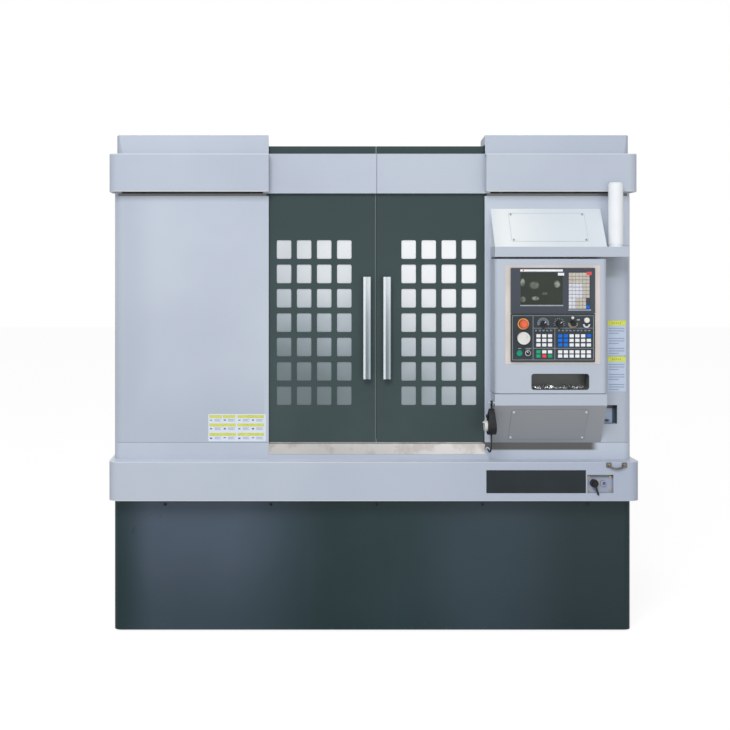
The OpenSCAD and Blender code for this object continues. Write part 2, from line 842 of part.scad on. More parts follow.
module chamber_liner() {
  hole = [turret_x - saddle_w / 2 - 200, turret_x + saddle_w / 2 + 215];
  color("#C9CDD1") difference() {
    union() {
      for (x = [liner_x[0], liner_x[1] - liner_t]) box([x, x + liner_t], liner_y, [pan_z, roof_z - sheet_t]);
      box(liner_x, liner_y, [pan_z, pan_z + liner_t]);
      box(liner_x, [liner_y[0], liner_y[0] + liner_t], [pan_z, seam_z - 6]);
      box(liner_x, [liner_y[1] - liner_t, liner_y[1]], [pan_z, roof_z - sheet_t]);
    }
    bar_z(spindle_x, spindle_y, [pan_z - e, pan_z + liner_t + e], housing_r + 1);
    box(chute_x, chute_y, [pan_z - e, pan_z + liner_t + e]);
    box(hole, [liner_y[1] - liner_t - e, liner_y[1] + e], [saddle_z - 50, roof_z]);
    box([liner_x[0] - e, liner_x[1] + e], [liner_y[0] - e, beam_y + beam_t], [beam_z - 5, roof_z]);
  }
}

// Spindle
motor_flange = 25;
module spindle_motor() {
  top = deck_z - deck_t;
  color("#2C3A44") difference() {
    union() {
      box([spindle_x - motor_r, spindle_x + motor_r], [spindle_y - motor_r, spindle_y + motor_r],
        [top - motor_flange, top]);
      bar_z(spindle_x, spindle_y, [top - motor_l, top - motor_flange + e], motor_r - 8);
      box([spindle_x + motor_r - 20, spindle_x + motor_r + 40], [spindle_y - 45, spindle_y + 45],
        [top - 220, top - 120]);
    }
    bar_z(spindle_x, spindle_y, [top - 190, top + e], tail_r + bearing_gap);
  }
}

module spindle() {
  color("silver") {
    bar_z(spindle_x, spindle_y, [deck_z - deck_t - 180, deck_z - deck_t + 3], tail_r);
    bar_z(spindle_x, spindle_y, [deck_z - deck_t + 2, housing_z + nose_gap + e], journal_r);
    bar_z(spindle_x, spindle_y, [housing_z + nose_gap, chuck_z], chuck_r - 17);
  }
}

module jaw_slot(angle) {
  translate([spindle_x, spindle_y, 0]) rotate(angle)
    box([jaw_in - jaw_reach, chuck_r + e], [-jaw_w / 2, jaw_w / 2], [chuck_top_z - slot_deep, chuck_top_z + e]);
}

module chuck_body() {
  color("#8E9294") difference() {
    union() {
      bar_z(spindle_x, spindle_y, [chuck_z, chuck_top_z - 4], chuck_r);
      bar_z(spindle_x, spindle_y, [chuck_z, chuck_top_z], chuck_r - 4);
      bar_z(spindle_x, spindle_y, [chuck_z, chuck_top_z + 6], jaw_in - jaw_reach - 2);
    }
    for (a = [90, 210, 330]) jaw_slot(a);
    for (a = [30, 150, 270]) translate([spindle_x, spindle_y, 0]) rotate(a)
      box([chuck_r - 25, chuck_r + 5], [-7, 7], [chuck_z + 43, chuck_z + 57]);
  }
}

module jaw(angle) {
  w = jaw_w / 2 - run_gap;
  color("#A7ABAD") translate([spindle_x, spindle_y, 0]) rotate(angle) {
    box([jaw_in, jaw_out], [-w, w], [chuck_top_z - slot_deep + run_gap, chuck_top_z + jaw_h / 3]);
    for (k = [1, 2])
      box([jaw_in + k * jaw_step, jaw_out], [-w, w], [chuck_top_z, chuck_top_z + jaw_h * (k + 1) / 3]);
  }
}

// Column and slides: the X motor's half height, its plate's thickness and how far both stand in front
x_motor = 60;
x_plate = 20;
x_front = 34;
motor_z = [x_rails_z - x_motor, x_rails_z + x_motor];
module column() {
  color("#6E7577") difference() {
    box(column_x, [column_y, column_y + column_d], [deck_z, deck_z + column_h]);
    box([column_x[0] + column_t, column_x[1] - column_t], [column_y + column_t, column_y + column_d + e],
      [deck_z + column_t, deck_z + column_h - column_t]);
  }
  color("silver") for (s = [-1, 1]) {
    z = x_rails_z + s * x_rails_span / 2;
    box([column_x[0] + 10, column_x[1] - 10], [rail_front_y, column_y], [z - guide_w / 2, z + guide_w / 2]);
  }
  color("silver") bar_x([column_x[0] + 40, column_x[1] + 40], column_y - 18, x_rails_z, screw_r - 4);
  color("#6E7577") box([column_x[0] + 20, column_x[0] + 60], [column_y - 42, column_y],
    [x_rails_z - 40, x_rails_z + 40]);
  color("#6E7577") {
    box([column_x[1] - 50, column_x[1] + x_plate], [column_y - x_front, column_y + e], motor_z);
    box([column_x[1] - e, column_x[1] + x_plate], [column_y - x_front, column_y + 60], motor_z);
  }
  color("#22262A") box([column_x[1] + x_plate, column_x[1] + x_plate + 170],
    [column_y - x_front, column_y - x_front + 2 * x_motor], motor_z);
}

// Carriages that grip a rail, with a groove round it: half their length, their cheeks and their backs
shoe_l = 50;
shoe_w = 16;
shoe_t = 7;
module x_carriage(x, z) {
  difference() {
    box([x - shoe_l, x + shoe_l], [rail_front_y - shoe_t, rail_front_y + grip],
      [z - guide_w / 2 - shoe_w, z + guide_w / 2 + shoe_w]);
    box([x - shoe_l - e, x + shoe_l + e], [rail_front_y - run_gap, rail_front_y + grip + e],
      [z - guide_w / 2 - run_gap, z + guide_w / 2 + run_gap]);
  }
}

module z_carriage(x, z) {
  difference() {
    box([x - guide_w / 2 - shoe_w, x + guide_w / 2 + shoe_w], [z_rail_y - shoe_t, z_rail_y + grip],
      [z - shoe_l, z + shoe_l]);
    box([x - guide_w / 2 - run_gap, x + guide_w / 2 + run_gap], [z_rail_y - run_gap, z_rail_y + grip + e],
      [z - shoe_l - e, z + shoe_l + e]);
  }
}

module saddle() {
  x = [turret_x - saddle_w / 2, turret_x + saddle_w / 2];
  top = saddle_z + saddle_h;
  color("#7B8386") {
    box(x, [saddle_y, saddle_y + saddle_t], [saddle_z, top]);
    for (s = [-1, 1]) for (k = [-1, 1])
      x_carriage(turret_x + k * (saddle_w / 2 - shoe_l - 10), x_rails_z + s * x_rails_span / 2);
    box([turret_x - 70, turret_x + 70], [z_rail_y - 20, saddle_y + saddle_t], [top, top + 14]);
    box([turret_x - 40, turret_x + 40], [z_rail_y, saddle_y + e], [saddle_z, saddle_z + 40]);
  }
  color("silver") for (s = [-1, 1]) {
    cx = turret_x + s * z_rails_span / 2;
    box([cx - guide_w / 2, cx + guide_w / 2], [z_rail_y, saddle_y], [saddle_z + 5, top - 5]);
  }
  color("silver") bar_z(turret_x, saddle_y - screw_r, [saddle_z + 10, top + e], screw_r - 2);
  color("#22262A") box([turret_x - 62, turret_x + 62], [z_rail_y - 18, saddle_y + saddle_t],
    [top + 14, top + 190]);
}

module z_slide() {
  w = z_rails_span / 2 + 40;
  color("#7B8386") {
    box([turret_x - w, turret_x + w], [slide_y, slide_y + slide_t], [slide_z, slide_z + slide_h]);
    for (s = [-1, 1]) for (z = [slide_z + shoe_l + 10, slide_z + slide_h - shoe_l - 10])
      z_carriage(turret_x + s * z_rails_span / 2, z);
  }
  color("#59636A") difference() {
    box([turret_x - 105, turret_x + 105], [disc_y + turret_t + e, slide_y + e],
      [turret_z - 110, turret_z + 130]);
    bar_y(turret_x, [disc_y, disc_y + turret_t + 70], turret_z, 45 + bearing_gap);
  }
}

module turret_disc() {
  color("#9A9EA0") difference() {
    union() {
      bar_y(turret_x, [disc_y, disc_y + turret_t], turret_z, turret_r);
      bar_y(turret_x, [disc_y - 14, disc_y + e], turret_z, 60);
      bar_y(turret_x, [disc_y + turret_t - e, disc_y + turret_t + 60], turret_z, 45);
      for (i = [0:stations - 1]) translate([turret_x, 0, turret_z]) rotate([0, i * 360 / stations, 0])
        box([-32, 32], [disc_y + 8, disc_y + turret_t - 8], [turret_r - 20, turret_r + tool_l - 16]);
      for (i = [0:2:stations - 1]) translate([turret_x, 0, turret_z]) rotate([0, i * 360 / stations, 0])
        box([-10, 10], [spindle_y - 10, spindle_y + 10], [turret_r + tool_l - 17, turret_r + tool_l]);
    }
    for (i = sockets) translate([turret_x, 0, turret_z]) rotate([0, i * 360 / stations, 0])
      bar_z(0, spindle_y, [turret_r - 30, turret_r + tool_l], tool_r);
  }
}

// Coolant tank on its runners
module coolant_tank() {
  color("#59636A") difference() {
    box(tank_x, tank_y, [tank_z, tank_z + tank_h]);
    box([tank_x[0] + tank_t, tank_x[1] - tank_t], [tank_y[0] + tank_t, tank_y[1] - tank_t - pump_bay],
      [tank_z + tank_t, tank_z + tank_h + e]);
    box([tank_x[0] + tank_t, tank_x[1] - tank_t], [tank_y[1] - pump_bay, tank_y[1] - tank_t],
      [tank_z + tank_t, tank_z + tank_h - tank_t]);
  }
  color("#2C3A44") {
    box([tank_x[1] - 345, tank_x[1] - 245], [tank_y[1] - e, tank_y[1] + 24], [tank_z + 150, tank_z + 175]);
  }
}

// Electric cabinet behind the machine
cabinet_x = cabinet_w / 2;
cabinet_back_y = rear_y + cabinet_d;
hinge_x = -cabinet_x - 10;
hinge_r = 5;
hinge_lows = [cabinet_z + 120, cabinet_z + cabinet_h - 160];
leaf_y = cabinet_back_y + run_gap;
drive_d = 160;
module electric_cabinet() {
  t = sheet_t;
  color(paint) difference() {
    box([-cabinet_x, cabinet_x], [rear_y, cabinet_back_y], [cabinet_z, cabinet_z + cabinet_h]);
    box([-cabinet_x + t, cabinet_x - t], [rear_y + t, cabinet_back_y + e],
      [cabinet_z + t, cabinet_z + cabinet_h - t]);
  }
  color("#C9CDD1") for (i = [0:3])
    box([-cabinet_x + 80 + i * 210, -cabinet_x + 250 + i * 210], [rear_y + t, rear_y + drive_d],
      [cabinet_z + cabinet_h / 2 + 50, cabinet_z + cabinet_h - 200]);
  color("#8E9294") for (z = hinge_lows) {
    box([hinge_x - 4, -cabinet_x], [cabinet_back_y - 20, cabinet_back_y - 8], [z, z + 20]);
    bar_z(hinge_x, cabinet_back_y - hinge_r, [z, z + 60], hinge_r);
    box([hinge_x - 4, hinge_x + 4], [cabinet_back_y - 12, cabinet_back_y - 4], [z, z + 18]);
  }
}

module cabinet_door() {
  color(paint) difference() {
    union() {
      box([-cabinet_x, cabinet_x], [leaf_y, cabinet_back_y + sheet_t], [cabinet_z, cabinet_z + cabinet_h]);
      for (z = hinge_lows) {
        bar_z(hinge_x, cabinet_back_y - hinge_r, [z + 20.5, z + 58], hinge_r + 3);
        box([hinge_x - 2, -cabinet_x + 20], [leaf_y, cabinet_back_y + sheet_t], [z + 20.5, z + 58]);
      }
    }
    for (z = hinge_lows) bar_z(hinge_x, cabinet_back_y - hinge_r, [z, z + 62], hinge_r + bearing_gap);
  }
  color("#22262A") box([cabinet_x - 70, cabinet_x - 45],
    [cabinet_back_y + sheet_t - e, cabinet_back_y + sheet_t + cabinet_handle],
    [cabinet_z + cabinet_h / 2 - 80, cabinet_z + cabinet_h / 2 + 80]);
}

// Doors: side is -1 for the left door and 1 for the right one
module door_place(side) {
  translate([door_mid_x, 0, 0]) if (side > 0) children();
  else mirror([1, 0, 0]) children();
}

module door_skin() {
  x = [door_gap / 2, door_gap / 2 + door_w];
  difference() {
    box(x, [skin_y, skin_y + door_t], [door_bottom_z, door_top_z]);
    for (i = [0:pane_cols - 1]) for (j = [0:pane_rows - 1]) {
      px = pane_edge + i * pane_pitch_x;
      pz = pane_top_z - pane_h - j * pane_pitch_z;
      front_plate([px, px + pane_w], [pz, pz + pane_h], skin_y + door_t + e, door_t + 2 * e, pane_r);
    }
  }
  for (fx = [x[0], x[1] - door_t]) box([fx, fx + door_t], [skin_y, door_back_y], [fold_z, door_top_z]);
  box(x, [skin_y, door_back_y], [door_top_z - door_t, door_top_z]);
}

module door_hanger() {
  for (cx = hanger_x) {
    box([cx - carriage_w / 2, cx + carriage_w / 2], [door_back_y, door_back_y + hanger_t],
      [rail_mid_z - carriage_h + 10, door_top_z]);
    difference() {
      box([cx - carriage_w / 2, cx + carriage_w / 2], [door_back_y + hanger_t - e, beam_y - e],
        [rail_mid_z - carriage_h / 2, rail_mid_z + carriage_h / 2]);
      box([cx - carriage_w / 2 - e, cx + carriage_w / 2 + e], [rail_y - run_gap, beam_y],
        [rail_mid_z - rail_s / 2 - run_gap, rail_mid_z + rail_s / 2 + run_gap]);
    }
  }
}

module door(side) {
  color(green) door_place(side) {
    door_skin();
    door_hanger();
  }
}

module window(side) {
  lap = 12;
  low = pane_top_z - pane_h - (pane_rows - 1) * pane_pitch_z;
  color("#9FB0B0") door_place(side) box(
    [pane_edge - lap, pane_edge + (pane_cols - 1) * pane_pitch_x + pane_w + lap],
    [skin_y + door_t, skin_y + door_t + glazing_t], [low - lap, pane_top_z + lap]);
}

module header(side) {
  y = skin_y - header_proud;
  x = [door_gap / 2, door_gap / 2 + door_w];
  color(paint) door_place(side) {
    box(x, [y, y + sheet_t], [header_z, header_z + header_h]);
    for (z = [header_z, header_z + header_h - sheet_t]) box(x, [y, skin_y], [z, z + sheet_t]);
  }
}

module handle(side) {
  y = skin_y - handle_proud;
  x = [handle_gap, handle_gap + handle_w];
  mid = handle_gap + handle_w / 2;
  color("#E4E6E8") door_place(side) {
    translate([0, 0, handle_z]) linear_extrude(handle_h) polygon([
      [x[0], y + 3], [x[0] + 3, y], [mid - 6, y], [mid, y + groove_d], [mid + 6, y], [x[1] - 3, y],
      [x[1], y + 3], [x[1], y + handle_t], [x[0], y + handle_t]
    ]);
    for (z = [handle_z + 8, handle_z + handle_h - handle_foot - 8])
      box([mid - 8, mid + 8], [y + handle_t - e, skin_y], [z, z + handle_foot]);
  }
}

// Console
module hood_profile(t) {
  polygon([
    [front_y + t, hood_z + t], [console_y + t, hood_z + t], [console_y + t, hood_edge_z - t * 0.5],
    [front_y + t, hood_top_z - t * 1.5]
  ]);
}

module console_hood() {
  color(paint) difference() {
    translate([console_x, 0, 0]) rotate([90, 0, 90]) linear_extrude(console_w) hood_profile(0);
    translate([console_x + console_t, 0, 0]) rotate([90, 0, 90]) linear_extrude(console_w - 2 * console_t)
      hood_profile(console_t);
  }
  color(paint) difference() {
    box([console_x2 - e, console_x2 + ledge_w], [console_y, front_y], [hood_z, hood_edge_z]);
    box([console_x2, console_x2 + ledge_w - console_t], [console_y + console_t, front_y + e],
      [hood_z + console_t, hood_edge_z - console_t]);
  }
  color("silver") bar_z(pin_x, pin_y, [box_top_z - 14, hood_z + e], pin_r);
}

module console_box() {
  x = [console_x, console_x2];
  z = [box_z, box_top_z];
  t = console_t;
  sx = [console_x + slot_in, console_x + slot_in + slot_w];
  sz = [slot_z, slot_z + slot_h];
  color(paint) difference() {
    union() {
      difference() {
        wrap(x, [console_y, box_back_y], z, box_r);
        wrap([x[0] + t, x[1] - t], [console_y + t, box_back_y + e], [z[0] + t, z[1] - t], box_r - t);
      }
      box([x[0] + e, pin_x + 12], [pin_y - 12, box_back_y], [z[1] - 16, z[1]]);
      box([x[0] + e, pin_x + 12], [pin_y - 12, box_back_y], [z[0], z[0] + 16]);
      box([sx[0] - t, sx[1] + t], [console_y + e, console_y + slot_d], [sz[0] - t, sz[1] + t]);
    }
    front_plate(sx, sz, console_y + slot_d - t, slot_d, slot_r);
    bar_z(pin_x, pin_y, [z[1] - 17, z[1] + e], pin_r + shaft_gap);
    bar_z(pin_x, pin_y, [z[0] - e, z[0] + 17], pin_r + shaft_gap);
  }
}

module base_profile(t) {
  polygon([
    [front_y + t, console_z + t * 1.5], [console_y + t, slope_z + t * 0.5],
    [console_y + t, box_z - box_gap - t], [front_y + t, box_z - box_gap - t]
  ]);
}

peg_z = 1062;
peg_r = 4;
module console_base() {
  color(paint) difference() {
    translate([console_x, 0, 0]) rotate([90, 0, 90]) linear_extrude(console_w) base_profile(0);
    translate([console_x + console_t, 0, 0]) rotate([90, 0, 90]) linear_extrude(console_w - 2 * console_t)
      base_profile(console_t);
  }
  color("silver") bar_z(pin_x, pin_y, [box_z - box_gap - e, box_z + 15], pin_r);
  color("#22262A") {
    bar_x([cord_x - 14, console_x + e], pendant_y, peg_z, peg_r);
    bar_x([cord_x - 16, cord_x - 12], pendant_y, peg_z, peg_r + 4);
  }
}

// A frame on the hood's slope and one on the base's slope: x along the width, y up the slope, z out of it
hood_run = sqrt(pow(console_proud, 2) + pow(hood_top_z - hood_edge_z, 2));
base_run = sqrt(pow(console_proud, 2) + pow(slope_z - console_z, 2));
module on_hood() {
  lean = atan2(console_proud, hood_top_z - hood_edge_z);
  translate([console_x, console_y, hood_edge_z]) rotate([90 - lean, 0, 0]) children();
}
module on_base() {
  translate([console_x, front_y, console_z]) rotate([90 + atan2(console_proud, slope_z - console_z), 0, 0])
    children();
}

access_in = (console_w - access_w) / 2;
module access_covers() {
  color(paint) on_hood() linear_extrude(access_t)
    rrect([access_in, access_in + access_w], [hood_run * 0.13, hood_run * 0.88], 3);
  color(paint) on_base() linear_extrude(access_t)
    rrect([access_in, access_in + access_w], [base_run * 0.08, base_run * 0.9], 3);
}

module bright_screws() {
  color("silver") for (x = [access_in + 10, access_in + access_w - 10]) {
    for (k = [0.17, 0.84]) on_hood() translate([x, hood_run * k, access_t]) cylinder(h = head_t, r = head_r);
    for (k = [0.15, 0.83]) on_base() translate([x, base_run * k, access_t]) cylinder(h = head_t, r = head_r);
  }
  color("#C8A25A") for (x = [switch_x + 10, switch_x + switch_w - 10])
    for (z = [switch_z + 12, switch_z + switch_h - 12]) bar_y(x, [switch_y - head_t, switch_y], z, head_r);
  color("#C8A25A") for (x = [grab_x + grab_pad / 2, grab_x + grab_w - grab_pad / 2])
    bar_y(x, [belt_y - 2 * head_t, belt_y - head_t], grab_z + grab_pad / 2 + 1, head_r);
  color("#202224") for (i = [-2:2])
    bar_y(door_mid_x + i * skirt_head_x / 2, [front_y - head_t, front_y], belt_z - 30, skirt_head_r);
}

module signal_tower() {
  cx = console_x2 + ledge_w / 2;
  cy = cover_y - tower_r - tower_gap;
  color("#F0F4F8") {
    bar_z(cx, cy, [hood_edge_z, hood_edge_z + 12], tower_r - 3);
    bar_z(cx, cy, [hood_edge_z + 11, hood_edge_z + tower_h - 6], tower_r);
    translate([cx, cy, hood_edge_z + tower_h - 7]) cylinder(h = 7, r1 = tower_r, r2 = tower_r - 6);
  }
}

// Label plates
module label_plates() {
  color("#E8ECF4") front_plate(chart_x, chart_z, front_y, label_t, 6);
  color("#B9C4D6") for (z = warning_lows) front_plate(warning_x, [z, z + warning_h], front_y, label_t, 3);
  color("#28373A") front_plate([name_x, name_x + name_w], [switch_z, switch_z + name_h], belt_y, label_t, 2);
}

module switch_box() {
  color(paint) difference() {
    box([switch_x - 2, switch_x + switch_w + 2], [belt_y + sheet_t, switch_y + 2],
      [switch_z - 2, switch_z + switch_h + 2]);
    box([switch_x, switch_x + switch_w], [belt_y + sheet_t - e, switch_y], [switch_z, switch_z + switch_h]);
    bar_y(main_x, [switch_y - e, switch_y + 3], main_z, shaft_r + shaft_gap);
    bar_y(power_x, [switch_y - e, switch_y + 3], main_z, shaft_r + shaft_gap);
  }
}

module main_switch() {
  color("#202224") {
    bar_y(main_x, [belt_y - 1, switch_y - 0.3], main_z, hub_r);
    bar_y(main_x, [switch_y - 1, switch_y + 8], main_z, shaft_r);
  }
  color("#8E9294") translate([main_x, belt_y, main_z]) rotate([0, -18, 0]) {
    bar_y(0, [-9, -0.5], 0, 9);
    box([-4, 4], [-7, -0.5], [-lever_l, 0]);
  }
}

module power_button() {
  color("#2C56C8") {
    bar_y(power_x, [switch_y - 12, switch_y - 4], main_z, power_r);
    bar_y(power_x, [switch_y - 5, switch_y + 8], main_z, shaft_r);
  }
}

module belt_handle() {
  color("#C9CDD1") {
    for (x = [grab_x, grab_x + grab_w - grab_pad])
      front_plate([x, x + grab_pad], [grab_z, grab_z + grab_pad], belt_y, head_t, 4);
    translate([grab_x + grab_w / 2, belt_y - 6, grab_z + 50]) rotate([90, 0, 0]) intersection() {
      difference() {
        cylinder(h = 6, r = grab_r);
        translate([0, 0, -e]) cylinder(h = 8, r = grab_r - 8);
      }
      translate([-38, -60, -e]) cube([76, 35, 8]);
    }
    for (x = [grab_x + 10, grab_x + grab_w - 22])
      box([x, x + 12], [belt_y - 8, belt_y - 2], [grab_z + 2, grab_z + 8]);
  }
}

// Pendant
module pendant_body() {
  x = cord_x;
  color("#22262A") difference() {
    union() {
      hull() {
        bar_x([x - pendant_t / 2, x + pendant_t / 2], pendant_y, pendant_z + 34, pendant_w / 2);
        bar_x([x - pendant_t / 2 + 5, x + pendant_t / 2 - 6], pendant_y, pendant_z + 78, pendant_w / 2 - 6);
        bar_x([x - 12, x + 12], pendant_y, pendant_z + pendant_h - 12, 12);
      }
      hull() {
        bar_x([x - 14, x + 14], pendant_y, pendant_z + 14, 14);
        bar_z(x, pendant_y, [pendant_z, pendant_z + e], 6);
      }
    }
    bar_x([x - pendant_t / 2 - e, x - pendant_t / 2 + 12], pendant_y, pendant_z + 40, shaft_r + shaft_gap);
  }
  color("#22262A") difference() {
    bar_x([x - 4, x + 4], pendant_y, peg_z - 2, 12);
    bar_x([x - 5, x + 5], pendant_y, peg_z - 2, peg_r + 2.2);
    box([x - 6, x + 6], [pendant_y - 20, pendant_y - 4], [peg_z - 9, peg_z - 3]);
  }
  color("#22262A") box([x - 4, x + 4], [pendant_y - 5, pendant_y + 5], [pendant_z + pendant_h - 4, peg_z - 9]);
  color("#202224") bar_x([x - pendant_t / 2 - 5, x - pendant_t / 2 + 8], pendant_y, pendant_z + 84, 8);
}

module pendant_dial() {
  x = cord_x - pendant_t / 2;
  color("#F0F2F4") {
    bar_x([x - 14, x - 0.3], pendant_y, pendant_z + 40, dial_r);
    bar_x([x - 1, x + 10], pendant_y, pendant_z + 40, shaft_r);
    bar_x([x - 20, x - 13], pendant_y, pendant_z + 56, 3.5);
  }
}

// A tube swept along points, with a ring of sides at each
function unit(v) = v / norm(v);
function along(p, i) = unit(p[min(i + 1, len(p) - 1)] - p[max(i - 1, 0)]);
function ring(c, d, r, n) = let(u = [1, 0, 0], w = cross(d, u))
  [for (k = [0:n - 1]) c + r * (cos(360 * k / n) * u + sin(360 * k / n) * w)];
module sweep(points, r, n) {
  last = len(points) - 1;
  rings = [for (i = [0:last]) for (q = ring(points[i], along(points, i), r, n)) q];
  sides = [for (i = [0:last - 1]) for (k = [0:n - 1])
    [i * n + k, i * n + (k + 1) % n, (i + 1) * n + (k + 1) % n, (i + 1) * n + k]];
  ends = [[for (k = [n - 1:-1:0]) k], [for (k = [0:n - 1]) last * n + k]];
  polyhedron(rings, concat(sides, ends), convexity = 6);
}

module pendant_cord() {
  color("#202224") sweep(cord_points, cord_d / 2, 10);
}

// Controls
module control_backplate() {
  x = console_x + plate_in;
  color("#D7CDC8") front_plate([x, x + plate_w], [plate_z, plate_z + plate_h], console_y, plate_t, 4);
}

pad_sunk = 2;
pad_cols = 6;
pad_rows = 10;
pad_x = [panel_x + pad_in - 3, panel_x + pad_in + (pad_cols - 1) * pad_pitch_x + pad_key + 3];
pad_z = [panel_z + pad_top - (pad_rows - 1) * pad_pitch_z - pad_key - 4, panel_z + pad_top + 4];
module display_unit() {
  color("#4A525E") difference() {
    front_plate([panel_x, panel_x + panel_w], [display_z, display_z + display_h], plate_y, display_t, 4);
    box([screen_x, screen_x + screen_w], [display_y - e, display_y + screen_d],
      [screen_z, screen_z + screen_h]);
    box(pad_x, [display_y - e, display_y + pad_sunk], pad_z);
  }
}

module screen() {
  color("#323A30") box([screen_x + run_gap, screen_x + screen_w - run_gap],
    [display_y + screen_d - screen_t, display_y + screen_d],
    [screen_z + run_gap, screen_z + screen_h - run_gap]);
}

dial_x = [panel_x + 145, panel_x + 217, panel_x + 279];
module machine_panel() {
  color("#2C3438") difference() {
    union() {
      front_plate([panel_x, panel_x + panel_w], [panel_z, panel_z + panel_h], plate_y, panel_t, 4);
      bar_y(controls_x, [panel_y - 5, panel_y + e], estop_z, collar_r);
      for (x = dial_x) bar_y(x, [panel_y - 1, panel_y + e], knobs_z, knob_r + 10);
    }
    bar_y(controls_x, [panel_y - 6, plate_y + e], estop_z, shaft_r + 2 + shaft_gap);
    bar_y(controls_x, [panel_y - e, plate_y + e], wheel_z, shaft_r + shaft_gap);
    bar_y(controls_x - 18, [panel_y - e, plate_y + e], small_z, shaft_r + shaft_gap);
    bar_y(controls_x + 20, [panel_y - e, plate_y + e], small_z, shaft_r + shaft_gap);
    for (x = dial_x) bar_y(x, [panel_y - 2, plate_y + e], knobs_z, shaft_r + shaft_gap);
  }
}

module cap(x, z) {
  box([x - cap_w / 2, x + cap_w / 2], [panel_y - cap_t, panel_y], [z - cap_h / 2, z + cap_h / 2]);
}

module pad_cap(x, top) {
  box([x, x + pad_key], [display_y - 1, display_y + pad_sunk], [top - pad_key, top]);
}

module panel_keys() {
  low = panel_z + field_low;
  key_rows = [low + 2 * field_step, low + field_step, low, panel_z + keys_low + keys_step, panel_z + keys_low];
  color("white") {
    for (z = key_rows) {
      for (i = [0:2]) cap(panel_x + keys_in + i * keys_pitch, z);
      for (i = [0:5]) cap(panel_x + field_in + i * field_pitch, z);
    }
    for (i = [0:pad_cols - 1]) for (j = [0:pad_rows - 1]) pad_cap(panel_x + pad_in + i * pad_pitch_x,
      panel_z + pad_top - j * pad_pitch_z);
    box([screen_x, screen_x + screen_w], [display_y - e, display_y],
      [screen_z + screen_h + 5, screen_z + screen_h + 16]);
    bar_y(panel_x + 339, [panel_y - 16, panel_y], knobs_z + 6, 12);
    bar_y(panel_x + 339, [panel_y - 6, panel_y], knobs_z + 4, 15);
    bar_y(dial_x[2], [panel_y - 8, panel_y], knobs_z + 29, 5);
  }
}

module estop_button() {
  color("#D8402C") {
    bar_y(controls_x, [panel_y - 12, panel_y - 1], estop_z, shaft_r + 2);
    translate([controls_x, panel_y - 11, estop_z]) rotate([90, 0, 0]) cylinder(h = 7, r1 = 12, r2 = estop_r);
    bar_y(controls_x, [panel_y - estop_h + 4, panel_y - 17.5], estop_z, estop_r);
    translate([controls_x, panel_y - estop_h + 4.5, estop_z]) rotate([90, 0, 0])
      cylinder(h = 4.5, r1 = estop_r, r2 = estop_r - 5);
  }
}

module handwheel() {
  color("#E6E6E2") {
    bar_y(controls_x, [panel_y - 20, panel_y - 0.3], wheel_z, wheel_r);
    bar_y(controls_x, [panel_y - 1, panel_y + 6], wheel_z, shaft_r);
    translate([controls_x + 14, panel_y - 26, wheel_z + 12]) rotate([-90, 0, 0]) cylinder(h = 7, r = 5);
  }
}

module start_button() {
  color("#1F9A7A") {
    bar_y(controls_x - 18, [panel_y - 9, panel_y - 4], small_z, start_r);
    bar_y(controls_x - 18, [panel_y - 5, panel_y + 3], small_z, shaft_r);
  }
}

module key_switch() {
  color("#B8BCC0") {
    bar_y(controls_x + 20, [panel_y - 8, panel_y - 0.3], small_z, key_r);
    bar_y(controls_x + 20, [panel_y - 1, panel_y + 6], small_z, shaft_r);
    translate([controls_x + 20, 0, small_z]) rotate([0, 45, 0])
      box([-3, 3], [panel_y - 20, panel_y - 7], [-11, 11]);
  }
}

module rotary_knob(x, angle) {
  color("#202224") {
    bar_y(x, [panel_y - 20, panel_y - 1.3], knobs_z, knob_r);
    bar_y(x, [panel_y - 2, panel_y + 6], knobs_z, shaft_r);
    translate([x, 0, knobs_z]) rotate([0, angle, 0])
      box([-2.5, 2.5], [panel_y - 23, panel_y - 19], [-2, knob_r]);
  }
}

// Curled metal chips on the floor of the storage tray
module chips() {
  sx = console_x + slot_in;
  color("#D5D9DC") for (i = [0:11]) {
    r = 9 + (i * 5) % 7;
    translate([sx + 24 + i * 18.5, console_y + 14 + (i * 11) % 26, slot_z + r * 0.42])
      rotate([0, 0, 35 + i * 47]) rotate([90, 0, 0]) intersection() {
        difference() {
          cylinder(h = 7, r = r);
          translate([0, 0, -e]) cylinder(h = 9, r = r - 1.2);
        }
        translate([-20, -r * 0.42, -e]) cube([40, 20, 9]);
      }
  }
}

base_skirt();
levelling_feet();
machine_bed();
base_belt();
lower_front_panel();
left_enclosure();
right_enclosure();
rear_panel();
top_covers();
door_rail();
door_sill();
chamber_liner();
spindle_motor();
column();
electric_cabinet();
console_hood();
console_base();
access_covers();
bright_screws();
signal_tower();
label_plates();
switch_box();
belt_handle();
pendant_body();
pendant_cord();
door(-1);  // left_door
window(-1);  // left_window
header(-1);  // left_header
handle(-1);  // left_handle
door(1);  // right_door
window(1);  // right_window
header(1);  // right_header
handle(1);  // right_handle
console_box();
control_backplate();
display_unit();
screen();
machine_panel();
panel_keys();
estop_button();
handwheel();
start_button();
key_switch();
rotary_knob(dial_x[0], 40);  // feed_knob
rotary_knob(dial_x[1], 45);  // spindle_knob
rotary_knob(dial_x[2], 0);  // mode_knob
chips();
pendant_dial();
main_switch();
power_button();
cabinet_door();
spindle();
chuck_body();
jaw(90);  // jaw_1
jaw(210);  // jaw_2
jaw(330);  // jaw_3
saddle();
z_slide();
turret_disc();
coolant_tank();
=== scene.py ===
# %% [markdown]
# # A vertical turning lathe in its enclosure
# This notebook dresses the machine's exact solids with paint, steel, plastic and glass. The solids
# come first, as a frame that never moves. Everything is in metres, with +X to the right along the
# front.

# %% Load the frame
import functools
import math
import random

